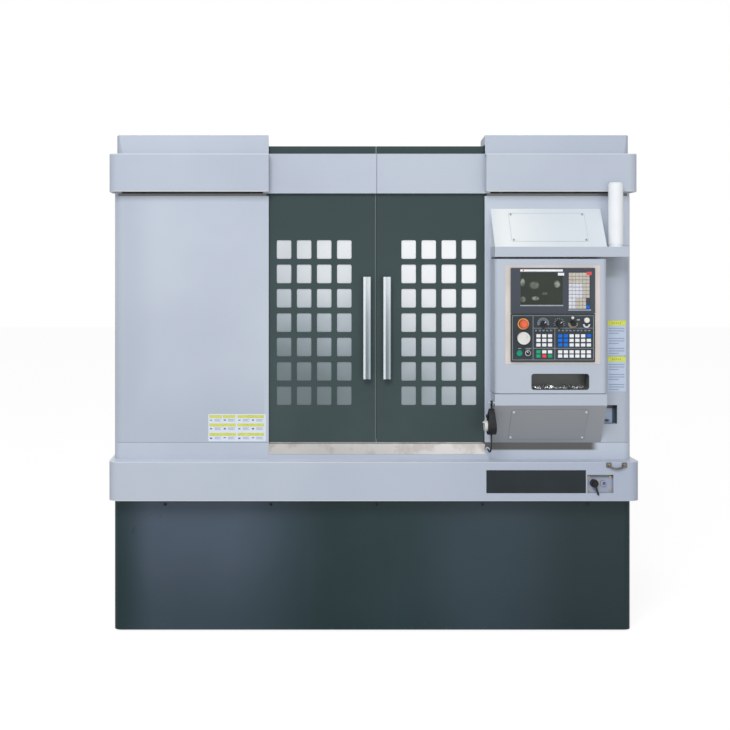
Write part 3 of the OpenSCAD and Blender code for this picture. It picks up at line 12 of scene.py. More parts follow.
import bpy
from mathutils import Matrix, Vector


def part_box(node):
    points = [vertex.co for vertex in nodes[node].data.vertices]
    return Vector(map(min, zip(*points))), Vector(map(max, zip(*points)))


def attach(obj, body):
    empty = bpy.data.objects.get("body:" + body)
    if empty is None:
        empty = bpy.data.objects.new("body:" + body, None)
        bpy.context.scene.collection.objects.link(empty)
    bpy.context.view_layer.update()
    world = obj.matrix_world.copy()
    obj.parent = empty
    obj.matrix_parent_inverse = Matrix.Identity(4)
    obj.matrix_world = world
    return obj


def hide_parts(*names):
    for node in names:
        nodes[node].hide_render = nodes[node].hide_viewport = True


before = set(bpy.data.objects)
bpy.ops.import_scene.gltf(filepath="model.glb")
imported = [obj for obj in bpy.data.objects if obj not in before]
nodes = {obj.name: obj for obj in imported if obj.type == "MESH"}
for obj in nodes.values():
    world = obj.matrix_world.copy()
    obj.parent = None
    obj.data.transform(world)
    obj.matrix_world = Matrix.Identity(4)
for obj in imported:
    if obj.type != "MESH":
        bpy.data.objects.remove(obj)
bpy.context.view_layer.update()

# %% [markdown]
# ## The camera
# A product picture of a tall machine keeps its uprights parallel. Tilting the camera would be
# simpler, but the uprights would then lean, so this one looks level and its lens shifts a little.

# %% Set up the camera
def new_object(name, data):
    made = bpy.data.objects.new(name, data)
    bpy.context.scene.collection.objects.link(made)
    return made


GLAND_T = 0.012
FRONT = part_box("lower_front_panel")[0].y + GLAND_T
DISTANCE, VIEW_WIDTH, SENSOR = 5.80, 3.358, 36.0
FLOOR_SIZE = 60

camera = new_object("camera", bpy.data.cameras.new("camera"))
camera.location = (-0.449, FRONT - DISTANCE, 1.66)
camera.rotation_euler = (math.radians(90), 0, 0)
camera.data.sensor_width = SENSOR
camera.data.lens = SENSOR * DISTANCE / VIEW_WIDTH
camera.data.shift_x, camera.data.shift_y = 0.123, -0.130
camera.data.clip_end = FLOOR_SIZE
bpy.context.scene.camera = camera
print("lens", round(camera.data.lens, 1), "mm")

# %% [markdown]
# ## The pendant's cord
# A hand pendant hangs from a short rubber cord. It leaves a gland in the front panel, bows out and
# goes up into the pendant. A curve with a round bevel would do, but a mesh of rings has an exact
# length and box, so each point of the route gets a ring here. The points are those of the solid.

# %% Make the cord
CORD_D, CORD_X = 0.007, 0.526
ROUTE = (
    (-0.812, 0.838), (-0.828, 0.837), (-0.846, 0.834), (-0.864, 0.833), (-0.882, 0.836),
    (-0.897, 0.844), (-0.908, 0.856), (-0.914, 0.870), (-0.916, 0.886), (-0.916, 0.902),
    (-0.916, 0.918),
)
CORD_POINTS = [(CORD_X, y, z) for y, z in ROUTE]


def route_length(points):
    return sum(math.dist(a, b) for a, b in zip(points, points[1:]))


def new_mesh(name, corners, faces, smooth=False):
    mesh = bpy.data.meshes.new(name)
    mesh.from_pydata(corners, [], faces)
    if smooth:
        mesh.shade_smooth()
    return mesh


def tube_along(name, points, diameter, sides=16):
    """A round tube along points in one plane square to X."""
    points = [Vector(point) for point in points]
    side = Vector((1, 0, 0))
    corners = []
    for i, point in enumerate(points):
        along = (points[min(i + 1, len(points) - 1)] - points[max(i - 1, 0)]).normalized()
        up = along.cross(side)
        for k in range(sides):
            angle = 2 * math.pi * k / sides
            out = side * math.cos(angle) + up * math.sin(angle)
            corners.append(point + out * diameter / 2)
    faces = [tuple(range(sides - 1, -1, -1)), tuple(range(len(corners) - sides, len(corners)))]
    for start in range(0, len(corners) - sides, sides):
        for k in range(sides):
            a, b = start + k, start + (k + 1) % sides
            faces.append((a, b, b + sides, a + sides))
    return new_object(name, new_mesh(name, corners, faces, smooth=True))


cord = tube_along("cord", CORD_POINTS, CORD_D)
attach(cord, "machine")
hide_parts("pendant_cord")
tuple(CORD_POINTS[0])
round(route_length(CORD_POINTS), 3)
print("cord points:", len(ROUTE))

# %% [markdown]
# ## Colours and finishes
# Paint on sheet metal is never one flat colour. It has faint clouds from the spray gun and a fine
# orange-peel texture that breaks up reflections. A picture could hold that, but noise needs no
# picture and has no seams, so each finish mixes two close tones by noise, and bumps the surface a
# little.

# %% Nodes and sums
def tone(red, green, blue):
    """A screen colour from 0 to 255 as the light it stands for."""
    channels = [c / 255 for c in (red, green, blue)]
    linear = [c / 12.92 if c <= 0.04045 else ((c + 0.055) / 1.055) ** 2.4 for c in channels]
    return (*linear, 1)


def is_socket(value):
    return isinstance(value, bpy.types.NodeSocket)


def connect(value, socket):
    """Links a socket, and sets anything else as a value."""
    if is_socket(value):
        socket.id_data.links.new(value, socket)
    else:
        socket.default_value = value


def add(tree, kind, **inputs):
    """A node with its inputs set."""
    node = tree.nodes.new(kind)
    for key, value in inputs.items():
        connect(value, node.inputs[key])
    return node


def calc(kind, a, b=0.0):
    """A sum of two values, of which at least one is a socket."""
    node = add((a if is_socket(a) else b).id_data, "ShaderNodeMath")
    node.operation = kind
    connect(a, node.inputs[0])
    connect(b, node.inputs[1])
    return node.outputs[0]


def times(*factors):
    return functools.reduce(lambda a, b: calc("MULTIPLY", a, b), factors)


def plus(*terms):
    return functools.reduce(lambda a, b: calc("ADD", a, b), terms)


def inverse(mask):
    """1 where a mask is 0, and 0 where it is 1."""
    return calc("SUBTRACT", 1.0, mask)


print("node helpers ready")


# %% A finish from noise
def blend_tones(factor, low, high):
    node = add(factor.id_data, "ShaderNodeMix")
    node.data_type = "RGBA"
    for value, key in ((factor, "Factor"), (low, "A"), (high, "B")):
        connect(value, node.inputs[key])
    return node.outputs["Result"]


def place(tree):
    return add(tree, "ShaderNodeTexCoord").outputs["Object"]


def noise(tree, scale, detail=3.0, stretch=(1, 1, 1)):
    """Noise from 0 to 1 by place, stretched along the axes if asked."""
    mapping = add(tree, "ShaderNodeMapping", Vector=place(tree), Scale=stretch)
    node = add(tree, "ShaderNodeTexNoise", Vector=mapping.outputs[0], Scale=scale, Detail=detail)
    return node.outputs["Fac"]


def ramp(value, start, end):
    """0 below start and 1 above end, smooth between."""
    node = add(value.id_data, "ShaderNodeMapRange")
    node.interpolation_type = "SMOOTHSTEP"
    for setting, key in ((value, "Value"), (start, "From Min"), (end, "From Max")):
        connect(setting, node.inputs[key])
    return node.outputs[0]


def finish(name, dark, light, rough=0.45, metal=0.0, cloud=1.5, gloss=0.5, coat=0.0, peel=0.0,
           grain=900):
    """Two tones in clouds, with an orange-peel bump."""
    material = bpy.data.materials.new(name)
    material.use_nodes = True
    tree = material.node_tree
    sockets = tree.nodes["Principled BSDF"].inputs
    clouds = ramp(noise(tree, cloud), 0.3, 0.7)
    connect(blend_tones(clouds, tone(*dark), tone(*light)), sockets["Base Color"])
    sockets["Roughness"].default_value, sockets["Metallic"].default_value = rough, metal
    sockets["Specular IOR Level"].default_value, sockets["Coat Weight"].default_value = gloss, coat
    if peel > 0:
        bumps = noise(tree, grain, 1.0)
        bump = add(tree, "ShaderNodeBump", Height=bumps, Strength=peel, Distance=0.0004)
        connect(bump.outputs[0], sockets["Normal"])
    return material


def layer(material, mask, colour, strength=1.0):
    """Another colour over a finish where the mask is 1."""
    base = material.node_tree.nodes["Principled BSDF"].inputs["Base Color"]
    factor = times(mask, strength) if strength < 1 else mask
    connect(blend_tones(factor, base.links[0].from_socket, tone(*colour)), base)


print("finish helpers ready")

# %% [markdown]
# ## A mask by place
# Some pressed sheets show two colours on one piece, such as a tray painted dark inside a pale box
# as a painted shade.
# The piece is one solid, so its colour changes by place instead: a mask that is 1 inside a box.

# %% Masks by place
X, Y, Z = 0, 1, 2


def axis_value(tree, axis):
    split = add(tree, "ShaderNodeSeparateXYZ", Vector=place(tree))
    return split.outputs[axis]


def rise(tree, axis, start, end):
    """0 below start and 1 above end, along an axis."""
    return ramp(axis_value(tree, axis), start, end)


def fall(tree, axis, start, end):
    """1 below start and 0 above end, along an axis."""
    return inverse(rise(tree, axis, start, end))


def between(value, low, high):
    return times(calc("GREATER_THAN", value, low), calc("LESS_THAN", value, high))


def span(tree, axis, low, high):
    """1 between two places along an axis, with hard ends."""
    return between(axis_value(tree, axis), low, high)


def inside(tree, low, high):
    """1 inside a box of two corners, 0 outside."""
    return times(*(span(tree, axis, low[axis], high[axis]) for axis in (X, Y, Z)))


def oval(tree, x, z, half_w, half_h):
    """1 in the middle of an oval, softly down to 0 outside."""
    across = calc("DIVIDE", calc("SUBTRACT", axis_value(tree, X), x), half_w)
    up = calc("DIVIDE", calc("SUBTRACT", axis_value(tree, Z), z), half_h)
    square = plus(times(across, across), times(up, up))
    return inverse(ramp(square, 0.3, 1.2))


print("mask helpers ready")

# %% [markdown]
# ## Paint
# The upper sheets have a cool light grey. Its gloss is low, so reflections are wide and soft. The
# bands, the console and the panels were sprayed apart, so each has a tone of its own.

# %% Paints of the sheets
# The hood's tones are a painted highlight, paler than the console where its slope faces up, and the
# slope's tones a painted shade where it faces down.
HOOD_LIT_TONES = ((220, 228, 235), (227, 235, 241))
SLOPE_SHADED_TONES = ((152, 156, 161), (159, 163, 168))
panel_paint = finish("panel_paint", (186, 195, 210), (194, 203, 217), rough=0.42, peel=0.12,
                     coat=0.15)
cover_paint = finish("cover_paint", (181, 190, 206), (189, 198, 212), peel=0.12)
belt_paint = finish("belt_paint", (182, 192, 207), (190, 199, 213), rough=0.4, peel=0.12, coat=0.2)
console_paint = finish("console_paint", (183, 192, 206), (191, 200, 214), peel=0.1)
hood_lit_paint = finish("hood_lit_paint", *HOOD_LIT_TONES, rough=0.4, peel=0.1)
slope_shaded_paint = finish("slope_shaded_paint", *SLOPE_SHADED_TONES, rough=0.5, peel=0.1)
print("paints:", len(bpy.data.materials))


# %% Dress a node
def dress(material, *names):
    """Gives CAD nodes one finish in every material slot."""
    for name in names:
        nodes[name].data.materials.clear()
        nodes[name].data.materials.append(material)


dress(panel_paint, "left_enclosure", "right_enclosure", "rear_panel", "lower_front_panel",
      "electric_cabinet", "cabinet_door", "switch_box")
dress(cover_paint, "top_covers", "left_header", "right_header")
dress(belt_paint, "base_belt")
dress(console_paint, "console_box")
print("sheets dressed")

# %% [markdown]
# ## Edges, seams and corners
# The bands round the machine are rolled sheets. Their ledges and lower edges catch the light, so a
# narrow mask paints a highlight on them. The gap under the bands and the panel under the console
# get darker masks, which are painted shade, and the seam between the panels a dark line.

# %% Painted highlights on the edges of the bands
BELT_LOW, BELT_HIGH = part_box("base_belt")
BAND_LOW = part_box("top_covers")[0]
EDGE, WIDE = 0.0035, 1.3
LEDGE_Z, LEDGE_DEPTH = 2.192, 0.0315
SHADE_GREY = (172, 182, 197)

tree = belt_paint.node_tree
# Painted highlights along the top and the bottom edge of the belt.
for height, edge_highlight in ((BELT_HIGH.z, (214, 222, 234)), (BELT_LOW.z, (212, 216, 220))):
    layer(belt_paint, span(tree, Z, height - EDGE, height + EDGE), edge_highlight)
# The belt is painted darker towards the right, a painted shade.
layer(belt_paint, rise(tree, X, -0.3, 1.15), (160, 171, 194), 0.55)

tree = cover_paint.node_tree
# Painted highlights on the ledge and the lower edge of the bands.
ledge = inside(tree, (-WIDE, BAND_LOW.y - EDGE, LEDGE_Z - EDGE),
               (WIDE, BAND_LOW.y + LEDGE_DEPTH, LEDGE_Z + 0.001))
lit_lower_edge = inside(tree, (-WIDE, BAND_LOW.y - EDGE, BAND_LOW.z - EDGE),
                    (WIDE, FRONT - 0.02, BAND_LOW.z + EDGE))
layer(cover_paint, ledge, (212, 220, 230))
layer(cover_paint, lit_lower_edge, (206, 208, 206))
# The tier above the ledge is painted a little darker, a painted shade.
layer(cover_paint, span(tree, Z, LEDGE_Z + 0.001, LEDGE_Z + 0.2), SHADE_GREY, 0.25)
print("band edges dusted")

# %% Painted shade in the gaps, and the seam
SEAM_Z, NECK_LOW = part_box("lower_front_panel")[1].z, 2.001
SKIN = (FRONT - 0.001, FRONT + 0.008)
CONSOLE_LOW, CONSOLE_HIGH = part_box("console_base")
sheets = panel_paint.node_tree
tint = functools.partial(layer, panel_paint)


def on_skin(x, z):
    """1 on the front sheets between the ends of x and of z."""
    return inside(sheets, (x[0], SKIN[0], z[0]), (x[1], SKIN[1], z[1]))


neck_shade = on_skin((-WIDE, WIDE), (NECK_LOW + 0.0003, NECK_LOW + 0.013))
seam = on_skin((-WIDE, WIDE), (SEAM_Z - 0.0020, SEAM_Z + 0.0010))
console_shadow = times(on_skin((CONSOLE_LOW.x, CONSOLE_HIGH.x), (SEAM_Z - 0.045, SEAM_Z)),
               fall(sheets, X, CONSOLE_HIGH.x - 0.045, CONSOLE_HIGH.x - 0.005),
               rise(sheets, Z, SEAM_Z - 0.040, SEAM_Z - 0.030))
# A painted shade in the gap under the bands, a dark joint line at the seam, and a painted shadow on
# the panel under the console.
tint(neck_shade, (122, 121, 117))
tint(seam, (126, 134, 146), 0.85)
tint(console_shadow, (66, 64, 61), 0.95)
print("seam at", round(SEAM_Z, 3))

# %% Painted shade and light at the ends of the front
LEDGE_LOW, LEDGE_TOP = 1.722, 1.775
left_or_low = calc("MAXIMUM", fall(sheets, X, -1.13, -0.98), fall(sheets, Z, 0.92, 1.25))
shaded_end = times(left_or_low, on_skin((-WIDE, -0.5), (SEAM_Z, NECK_LOW)))
shaded_far_end = times(on_skin((1.0, WIDE), (SEAM_Z, LEDGE_LOW)), rise(sheets, X, 1.02, 1.10))
lit_by_sleeve = inside(sheets, (1.12, FRONT - 0.001, LEDGE_TOP), (WIDE, FRONT + 0.036, NECK_LOW))
shade = times(fall(sheets, X, 1.085, 1.160), rise(sheets, Z, 1.615, 1.640),
              on_skin((1.0, WIDE), (1.61, LEDGE_LOW + 0.02)))
# Painted shade at the left end and the low part of the left front and at the right end of the
# front, a painted light beside the signal tower's sleeve, and a painted shadow under the ledge.
tint(shaded_end, SHADE_GREY, 0.5)
tint(shaded_far_end, (146, 156, 170), 0.4)
tint(lit_by_sleeve, (212, 223, 237), 0.85)
tint(shade, (100, 112, 106), 0.5)
print("ledge at", LEDGE_TOP)

# %% Painted shade in the switch recess
SWITCH_LOW, SWITCH_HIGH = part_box("switch_box")


def in_recess(low, high):
    return inside(sheets, (SWITCH_LOW.x, BELT_LOW.y + 0.001, low),
                  (SWITCH_HIGH.x, SWITCH_HIGH.y + 0.001, high))


# The recess is painted darker inside, a painted shade, and darker still under its top, a painted
# shadow.
tint(in_recess(SWITCH_LOW.z - 0.001, SWITCH_HIGH.z + 0.001), (160, 169, 188))
tint(in_recess(SWITCH_HIGH.z - 0.016, SWITCH_HIGH.z + 0.001), (122, 127, 134))
print("recess", round(SWITCH_HIGH.x - SWITCH_LOW.x, 3), "m wide")

# %% Inside the electric cabinet
CABINET_LOW, CABINET_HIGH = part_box("electric_cabinet")
MOUNT_Y, DRIVES_Y = CABINET_LOW.y + 0.0045, CABINET_LOW.y + 0.165
DRIVES_X = (-0.43, 0.39)
VENTS_PER_METRE, VENT_SHARE = 60.0, 0.35
BLACK_PART = (26, 28, 31)
LATCH = ((0.428, 0.9330, 1.33), (0.457, 0.97, 1.51))
HINGES = ((-0.53, 0.90, 0.80), (-0.5003, 0.97, 2.03))


def in_drives(low, high):
    """1 on the drives between two heights."""
    return inside(sheets, (DRIVES_X[0], MOUNT_Y, low), (DRIVES_X[1], DRIVES_Y, high))


galvanised = inside(sheets, (CABINET_LOW.x, CABINET_LOW.y + 0.002, CABINET_LOW.z),
                    (CABINET_HIGH.x, MOUNT_Y, CABINET_HIGH.z))
in_pitch = calc("FRACT", times(axis_value(sheets, Z), VENTS_PER_METRE))
vents = times(between(in_pitch, 0.0, VENT_SHARE), in_drives(1.74, 1.81))
latch, hinges = inside(sheets, *LATCH), inside(sheets, *HINGES)
tint(galvanised, (176, 181, 182))
tint(in_drives(1.46, 1.83), (62, 67, 73))
tint(vents, BLACK_PART)
tint(plus(latch, hinges), BLACK_PART)
print("cabinet", round(CABINET_HIGH.z - CABINET_LOW.z, 2), "m high")

# %% Painted light and shade in the hand-tool pocket
POCKET_X, POCKET_Z = (1.064, 1.124), (0.953, 1.039)
DRAIN = (1.087, 0.964, 0.014, 0.007)


def in_pocket(x, z):
    return inside(sheets, (x[0], FRONT + 0.0032, z[0]), (x[1], FRONT + 0.048, z[1]))


whole = in_pocket(POCKET_X, POCKET_Z)
shaded_right_side = in_pocket((POCKET_X[1] - 0.012, POCKET_X[1] + 0.001), POCKET_Z)
shadow_under_top = in_pocket(POCKET_X, (POCKET_Z[1] - 0.019, POCKET_Z[1] + 0.001))
# The inside of the pocket is painted paler and bluer, a painted light; its right side gets a
# painted shade, the part under its top a painted shadow, and the drain hole is a dark oval of
# painted shade.
tint(whole, (178, 196, 224))
tint(shaded_right_side, (84, 100, 112))
tint(shadow_under_top, (42, 48, 49))
tint(times(whole, oval(sheets, *DRAIN)), (36, 44, 60))
print("pocket", round(POCKET_X[1] - POCKET_X[0], 3), "m wide")

# %% [markdown]
# ## Base paint
# The skirt is a deep blue-green gloss, with a paler, bluer painted reflection towards the left and
# the right, and it takes the knocks of pallet trucks and mops. The reflection's fields are ramps
# along X, the right is painted darker as a painted shade, and the upright streaks are noise
# stretched along Z.

# %% Base skirt
base_paint = finish("base_paint", (28, 50, 54), (37, 58, 63), rough=0.42, cloud=1.2, peel=0.15,
                    gloss=0.3)
tree = base_paint.node_tree
on_front = span(tree, Y, -1.0, FRONT + 0.02)


def field(start, full, lessen, end):
    """1 between two places along X, with soft ends."""
    return times(rise(tree, X, start, full), fall(tree, X, lessen, end))


by_height = plus(0.5, times(rise(tree, Z, 0.05, 0.45), 0.5))
left_sheen = times(field(-1.17, -1.00, -0.75, -0.15), by_height)
right_sheen = times(field(0.10, 0.60, 0.70, 0.95), 0.4)
uneven = plus(0.7, times(noise(tree, 2.5, 4), 0.6))
marks = times(ramp(noise(tree, 13, 4, (1, 1, 0.8)), 0.64, 0.70),
              field(-1.16, -1.1, -0.8, -0.6), rise(tree, Z, 0.28, 0.36), on_front)
streaks = ramp(noise(tree, 9, 4, (1, 1, 0.08)), 0.56, 0.8)
scuffs = times(ramp(noise(tree, 40, 5, (1, 1, 2.5)), 0.60, 0.68), fall(tree, Z, 0.0, 0.06))
# A paler, bluer painted reflection towards the left and the right of the skirt.
layer(base_paint, times(plus(left_sheen, right_sheen), on_front, uneven), (73, 86, 102))
layer(base_paint, marks, (34, 46, 54), 0.45)
layer(base_paint, streaks, (66, 80, 88), 0.15)
layer(base_paint, scuffs, (92, 100, 104), 0.4)
# The skirt is painted darker towards the right, a painted shade.
layer(base_paint, rise(tree, X, 0.3, 1.0), (28, 46, 50), 0.6)
dress(base_paint, "base_skirt")
print("base dressed")

# %% [markdown]
# ## Doors
# The doors carry a dark green textured paint, painted a little darker towards the top as a painted
# shade. A folded sheet shows its edge as a thin pale line, a painted highlight, which a mask by
# place adds along the middle seam.

# %% Door paint
door_paint = finish("door_paint", (60, 75, 77), (67, 82, 84), rough=0.5, cloud=2.2, peel=0.25,
                    gloss=0.2)
dress(door_paint, "left_door", "right_door")
tree = door_paint.node_tree
seam_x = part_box("left_door")[1].x
# The doors are painted a little darker towards the top, a painted shade.
layer(door_paint, rise(tree, Z, 1.5, 1.95), (55, 70, 72), 0.9)
# A thin pale line along the middle seam, a painted highlight on the folded edge.
layer(door_paint, span(tree, X, seam_x - 0.0055, seam_x + 0.0005), (98, 111, 111), 0.9)
print("middle seam at", round(seam_x, 4))

# %% [markdown]
# ## Window panes
# Each door has one clear plastic sheet behind a grid of cut-outs. Such a sheet is rubbed hazy by
# chips and coolant, and its pale sheen, strongest at the top, is painted here. Real glass would
# show the dark inside instead. The painted sheen grows with height and towards the right, and the
# right door has more. Half-thick haze scatters blue light most, so a faint blue goes over that
# part.

# %% Hazy panes
def pane_finish(name, node, lift, lean):
    """A painted sheen that grows with height, and towards +X by the lean."""
    low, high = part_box(node)
    material = finish(name, (108, 120, 124), (114, 126, 130), rough=0.2, gloss=0.3)
    tree = material.node_tree
    uneven = times(calc("SUBTRACT", noise(tree, 4, 3), 0.5), 0.25)
    haze_and_sheen = plus(times(rise(tree, Z, low.z, high.z), 0.66),
                times(rise(tree, X, low.x, high.x), lean), uneven, lift)
    painted_sheen = ramp(haze_and_sheen, 0.0, 1.0)
    clear = inverse(painted_sheen)
    # The pale painted sheen, and a faint blue where it is half strong.
    layer(material, painted_sheen, (246, 248, 250))
    for part, colour in ((clear, (152, 181, 212)), (painted_sheen, (236, 245, 255))):
        layer(material, times(painted_sheen, clear, part), colour)
    return material


for node, lift, lean in (("left_window", -0.03, 0.12), ("right_window", 0.24, 0.20)):
    dress(pane_finish(node + "_haze", node, lift, lean), node)
print("panes dressed")

# %% [markdown]
# ## Bare metal
# Stainless sheet is brushed along its length, turned parts show rings, and castings are dull. A
# metal with noise stretched along X reads as brushed, and it needs a rough surface so that it
# doesn't mirror the room.

# %% Metals
def brushed(name, dark, light, rough=0.36, stretch=(1, 1, 60)):
    material = finish(name, dark, light, rough=rough, metal=1.0, cloud=3)
    lines = noise(material.node_tree, 30, 4, stretch)
    layer(material, ramp(lines, 0.45, 0.75), dark, 0.3)
    return material


STAINLESS_TONES = ((188, 187, 185), (206, 204, 202))
stainless = brushed("stainless", *STAINLESS_TONES)
sill_steel = brushed("sill_steel", *STAINLESS_TONES)
plate_steel = finish("plate_steel", (206, 197, 192), (218, 209, 203), rough=0.5, metal=0.2, cloud=8)
cast_iron = finish("cast_iron", (104, 112, 114), (118, 126, 128), rough=0.6, peel=0.5, grain=300)
turned_steel = finish("turned_steel", (146, 150, 152), (158, 162, 164), rough=0.3, metal=0.9,
                      cloud=6)
turret_steel = finish("turret_steel", (150, 154, 156), (160, 164, 166), rough=0.34, metal=0.9,
                      cloud=6)
drawn_steel = brushed("drawn_steel", (142, 146, 149), (154, 158, 161), rough=0.42)
white_lacquer = finish("white_lacquer", (174, 184, 190), (182, 192, 198), rough=0.35, metal=0.1)
worn_steel = finish("worn_steel", (92, 93, 92), (112, 112, 109), rough=0.4, metal=0.7, cloud=30)
screw_steel = finish("screw_steel", (150, 155, 162), (170, 175, 182), rough=0.3, metal=0.3,
                     cloud=30)

dress(stainless, "chamber_liner")
dress(sill_steel, "door_sill")
dress(plate_steel, "control_backplate")
dress(cast_iron, "machine_bed", "column", "saddle", "z_slide", "coolant_tank")
dress(turned_steel, "spindle", "chuck_body", "jaw_1", "jaw_2", "jaw_3")
dress(turret_steel, "turret_disc")
dress(drawn_steel, "door_rail", "levelling_feet")
dress(worn_steel, "belt_handle")
dress(white_lacquer, "left_handle", "right_handle")
dress(screw_steel, "bright_screws")
print("metals dressed")

# %% Stains, screws by height and the tank's black handle
BASE_TOP, BELT_TOP = 0.62, 0.80
stains = ramp(noise(sill_steel.node_tree, 12, 4), 0.50, 0.62)
layer(sill_steel, stains, (164, 157, 152), 0.55)
tank_handle = inside(cast_iron.node_tree, (0.24, 0.651, 0.21), (0.36, 0.69, 0.26))
layer(cast_iron, tank_handle, (30, 32, 34))
SCREWS = (
    (BELT_TOP, 1.20, (240, 242, 244)),
    (BASE_TOP, BELT_TOP, (186, 160, 112)),
    (0.0, BASE_TOP, (6, 7, 8)),
)
for low, high, colour in SCREWS:
    layer(screw_steel, span(screw_steel.node_tree, Z, low, high), colour)
print(len(SCREWS) + 1, "screw tones")

# %% Painted light and shade on the flutes of the door handles
LIT_AND_SHADED_FLUTES = (
    (0.0, 0.27, 0.75, (238, 243, 247)),
    (0.27, 0.74, 0.9, (134, 146, 152)),
    (0.74, 1.0, 0.6, (146, 170, 177)),
)
tree = white_lacquer.node_tree
# Painted light and shade: each handle is lighter at the top, its left band is a painted highlight,
# its middle band a painted shade and its right band a paler bluish painted light, the last two on
# the lower part only.
layer(white_lacquer, rise(tree, Z, 1.40, 1.62), (226, 233, 239), 0.75)
shaded_lower_part = fall(tree, Z, 1.20, 1.60)
for name in ("left_handle", "right_handle"):
    low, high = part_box(name)
    for start, end, strength, colour in LIT_AND_SHADED_FLUTES:
        ends = [low.x + (high.x - low.x) * part for part in (start, end)]
        painted_flute = span(tree, X, *ends)
        if start > 0:
            painted_flute = times(painted_flute, shaded_lower_part)
        layer(white_lacquer, painted_flute, colour, strength)
print(len(LIT_AND_SHADED_FLUTES), "flutes each")


# %% Marks of the lathe tool
def from_axis(tree, axes, middle):
    """The distance from a line square to the two axes."""
    sides = [calc("SUBTRACT", axis_value(tree, axis), at) for axis, at in zip(axes, middle)]
    return calc("SQRT", plus(*(times(side, side) for side in sides)))


def tool_rings(material, distance, colour):
    """Fine rings, as a cutting tool leaves them."""
    tree = material.node_tree
    line = add(tree, "ShaderNodeCombineXYZ", X=distance)
    rings = add(tree, "ShaderNodeTexNoise", Vector=line.outputs[0], Scale=420.0, Detail=1.0)
    layer(material, ramp(rings.outputs["Fac"], 0.4, 0.65), colour, 0.45)


def middle_of(name, *axes):
    low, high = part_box(name)
    return [(low[axis] + high[axis]) / 2 for axis in axes]


DISC_R = 0.151
turning_axis = middle_of("spindle", X, Y)
index_axis = middle_of("turret_disc", X, Z)
tool_rings(turned_steel, from_axis(turned_steel.node_tree, (X, Y), turning_axis), (118, 122, 125))
tree = turret_steel.node_tree
disc_distance = from_axis(tree, (X, Z), index_axis)
tool_rings(turret_steel, disc_distance, (122, 126, 129))
layer(turret_steel, between(disc_distance, DISC_R, 1.0), (104, 108, 111))
print("axis at", [round(value, 3) for value in turning_axis])

# %% [markdown]
# ## Plastics
# The signal lamp still wears its white transport sleeve, the knobs are moulded black, and the
# buttons have clear signal colours: red to stop, green to start.

# %% Plastics
sleeve_white = finish("sleeve_white", (232, 237, 242), (242, 246, 250), rough=0.4, cloud=6,
                      peel=0.2, grain=60)
black_plastic = finish("black_plastic", (25, 27, 30), (35, 38, 41), cloud=20, peel=0.2, gloss=0.25)
switch_plastic = finish("switch_plastic", (22, 24, 27), (32, 35, 38), rough=0.4, cloud=20,
                        gloss=0.25)
rubber = finish("rubber", (30, 31, 33), (38, 40, 42), rough=0.7, cloud=25)
bezel_paint = finish("bezel_paint", (58, 64, 74), (66, 73, 84), peel=0.2, gloss=0.3)
panel_film = finish("panel_film", (38, 47, 54), (48, 57, 64), rough=0.4, cloud=8, gloss=0.3)
white_plastic = finish("white_plastic", (216, 216, 212), (230, 230, 226), rough=0.35, cloud=12)
red_plastic = finish("red_plastic", (222, 84, 46), (234, 102, 62), rough=0.3, cloud=25)
green_plastic = finish("green_plastic", (10, 142, 112), (24, 158, 126), rough=0.4, cloud=25,
                       gloss=0.2)
blue_plastic = finish("blue_plastic", (36, 84, 180), (52, 104, 200), rough=0.3, cloud=25)

dress(sleeve_white, "signal_tower")
dress(black_plastic, "pendant_body", "main_switch", "feed_knob", "spindle_knob", "mode_knob",
      "spindle_motor")
dress(switch_plastic, "key_switch")
dress(bezel_paint, "display_unit")
dress(panel_film, "machine_panel")
dress(white_plastic, "handwheel", "pendant_dial")
dress(red_plastic, "estop_button")
dress(green_plastic, "start_button")
dress(blue_plastic, "power_button")
cord.data.materials.append(rubber)
print("plastics dressed")

# %% Metal rims
power_x, power_z = middle_of("power_button", X, Z)
tree = blue_plastic.node_tree
rim_mask = inverse(oval(tree, power_x + 0.002, power_z, 0.010, 0.010))
layer(blue_plastic, rim_mask, (190, 172, 142))
tree = switch_plastic.node_tree
key_rim = between(from_axis(tree, (X, Z), middle_of("key_switch", X, Z)), 0.0098, 0.0132)
layer(switch_plastic, key_rim, (206, 209, 212))
print("rims done")

# %% [markdown]
# ## Two tones on the console
# The hood's slope faces up and is painted paler than the console, a painted highlight, and the
# slope under it faces down and is painted darker, a painted shade, with a plate screwed on each.
# Each sheet changes tone at its bend, so a mask by height parts the tones, and a thin line by place
# shows the outline of each plate.

# %% Hood and base
HOOD_BEND, BASE_BEND = 1.7655, 1.0500
CONSOLE_TONE = (185, 194, 208)
HOOD_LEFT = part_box("console_hood")[0].x


def lit_end(material):
    """A painted highlight: lightens a sheet softly towards its left end, but not its rounded edge.
    """
    tree = material.node_tree
    end = fall(tree, X, HOOD_LEFT, HOOD_LEFT + 0.30)
    past_edge = rise(tree, X, HOOD_LEFT - 0.02, HOOD_LEFT + 0.06)
    layer(material, times(end, past_edge), (241, 245, 246))


lit_end(hood_lit_paint)
layer(hood_lit_paint, span(hood_lit_paint.node_tree, Z, 1.6, HOOD_BEND), CONSOLE_TONE)
layer(slope_shaded_paint, span(slope_shaded_paint.node_tree, Z, BASE_BEND, 1.2), CONSOLE_TONE)
dress(hood_lit_paint, "console_hood")
dress(slope_shaded_paint, "console_base")
print("bends at", BASE_BEND, "and", HOOD_BEND)

# %% The plates on the slopes
PLATE_LOW, PLATE_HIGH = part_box("access_covers")
BASE_PLATE, HOOD_PLATE = (PLATE_LOW.z, 1.0317), (1.7889, PLATE_HIGH.z)
plate_paint = finish("plate_paint", *HOOD_LIT_TONES, rough=0.4, peel=0.1)
lit_end(plate_paint)
tree = plate_paint.node_tree


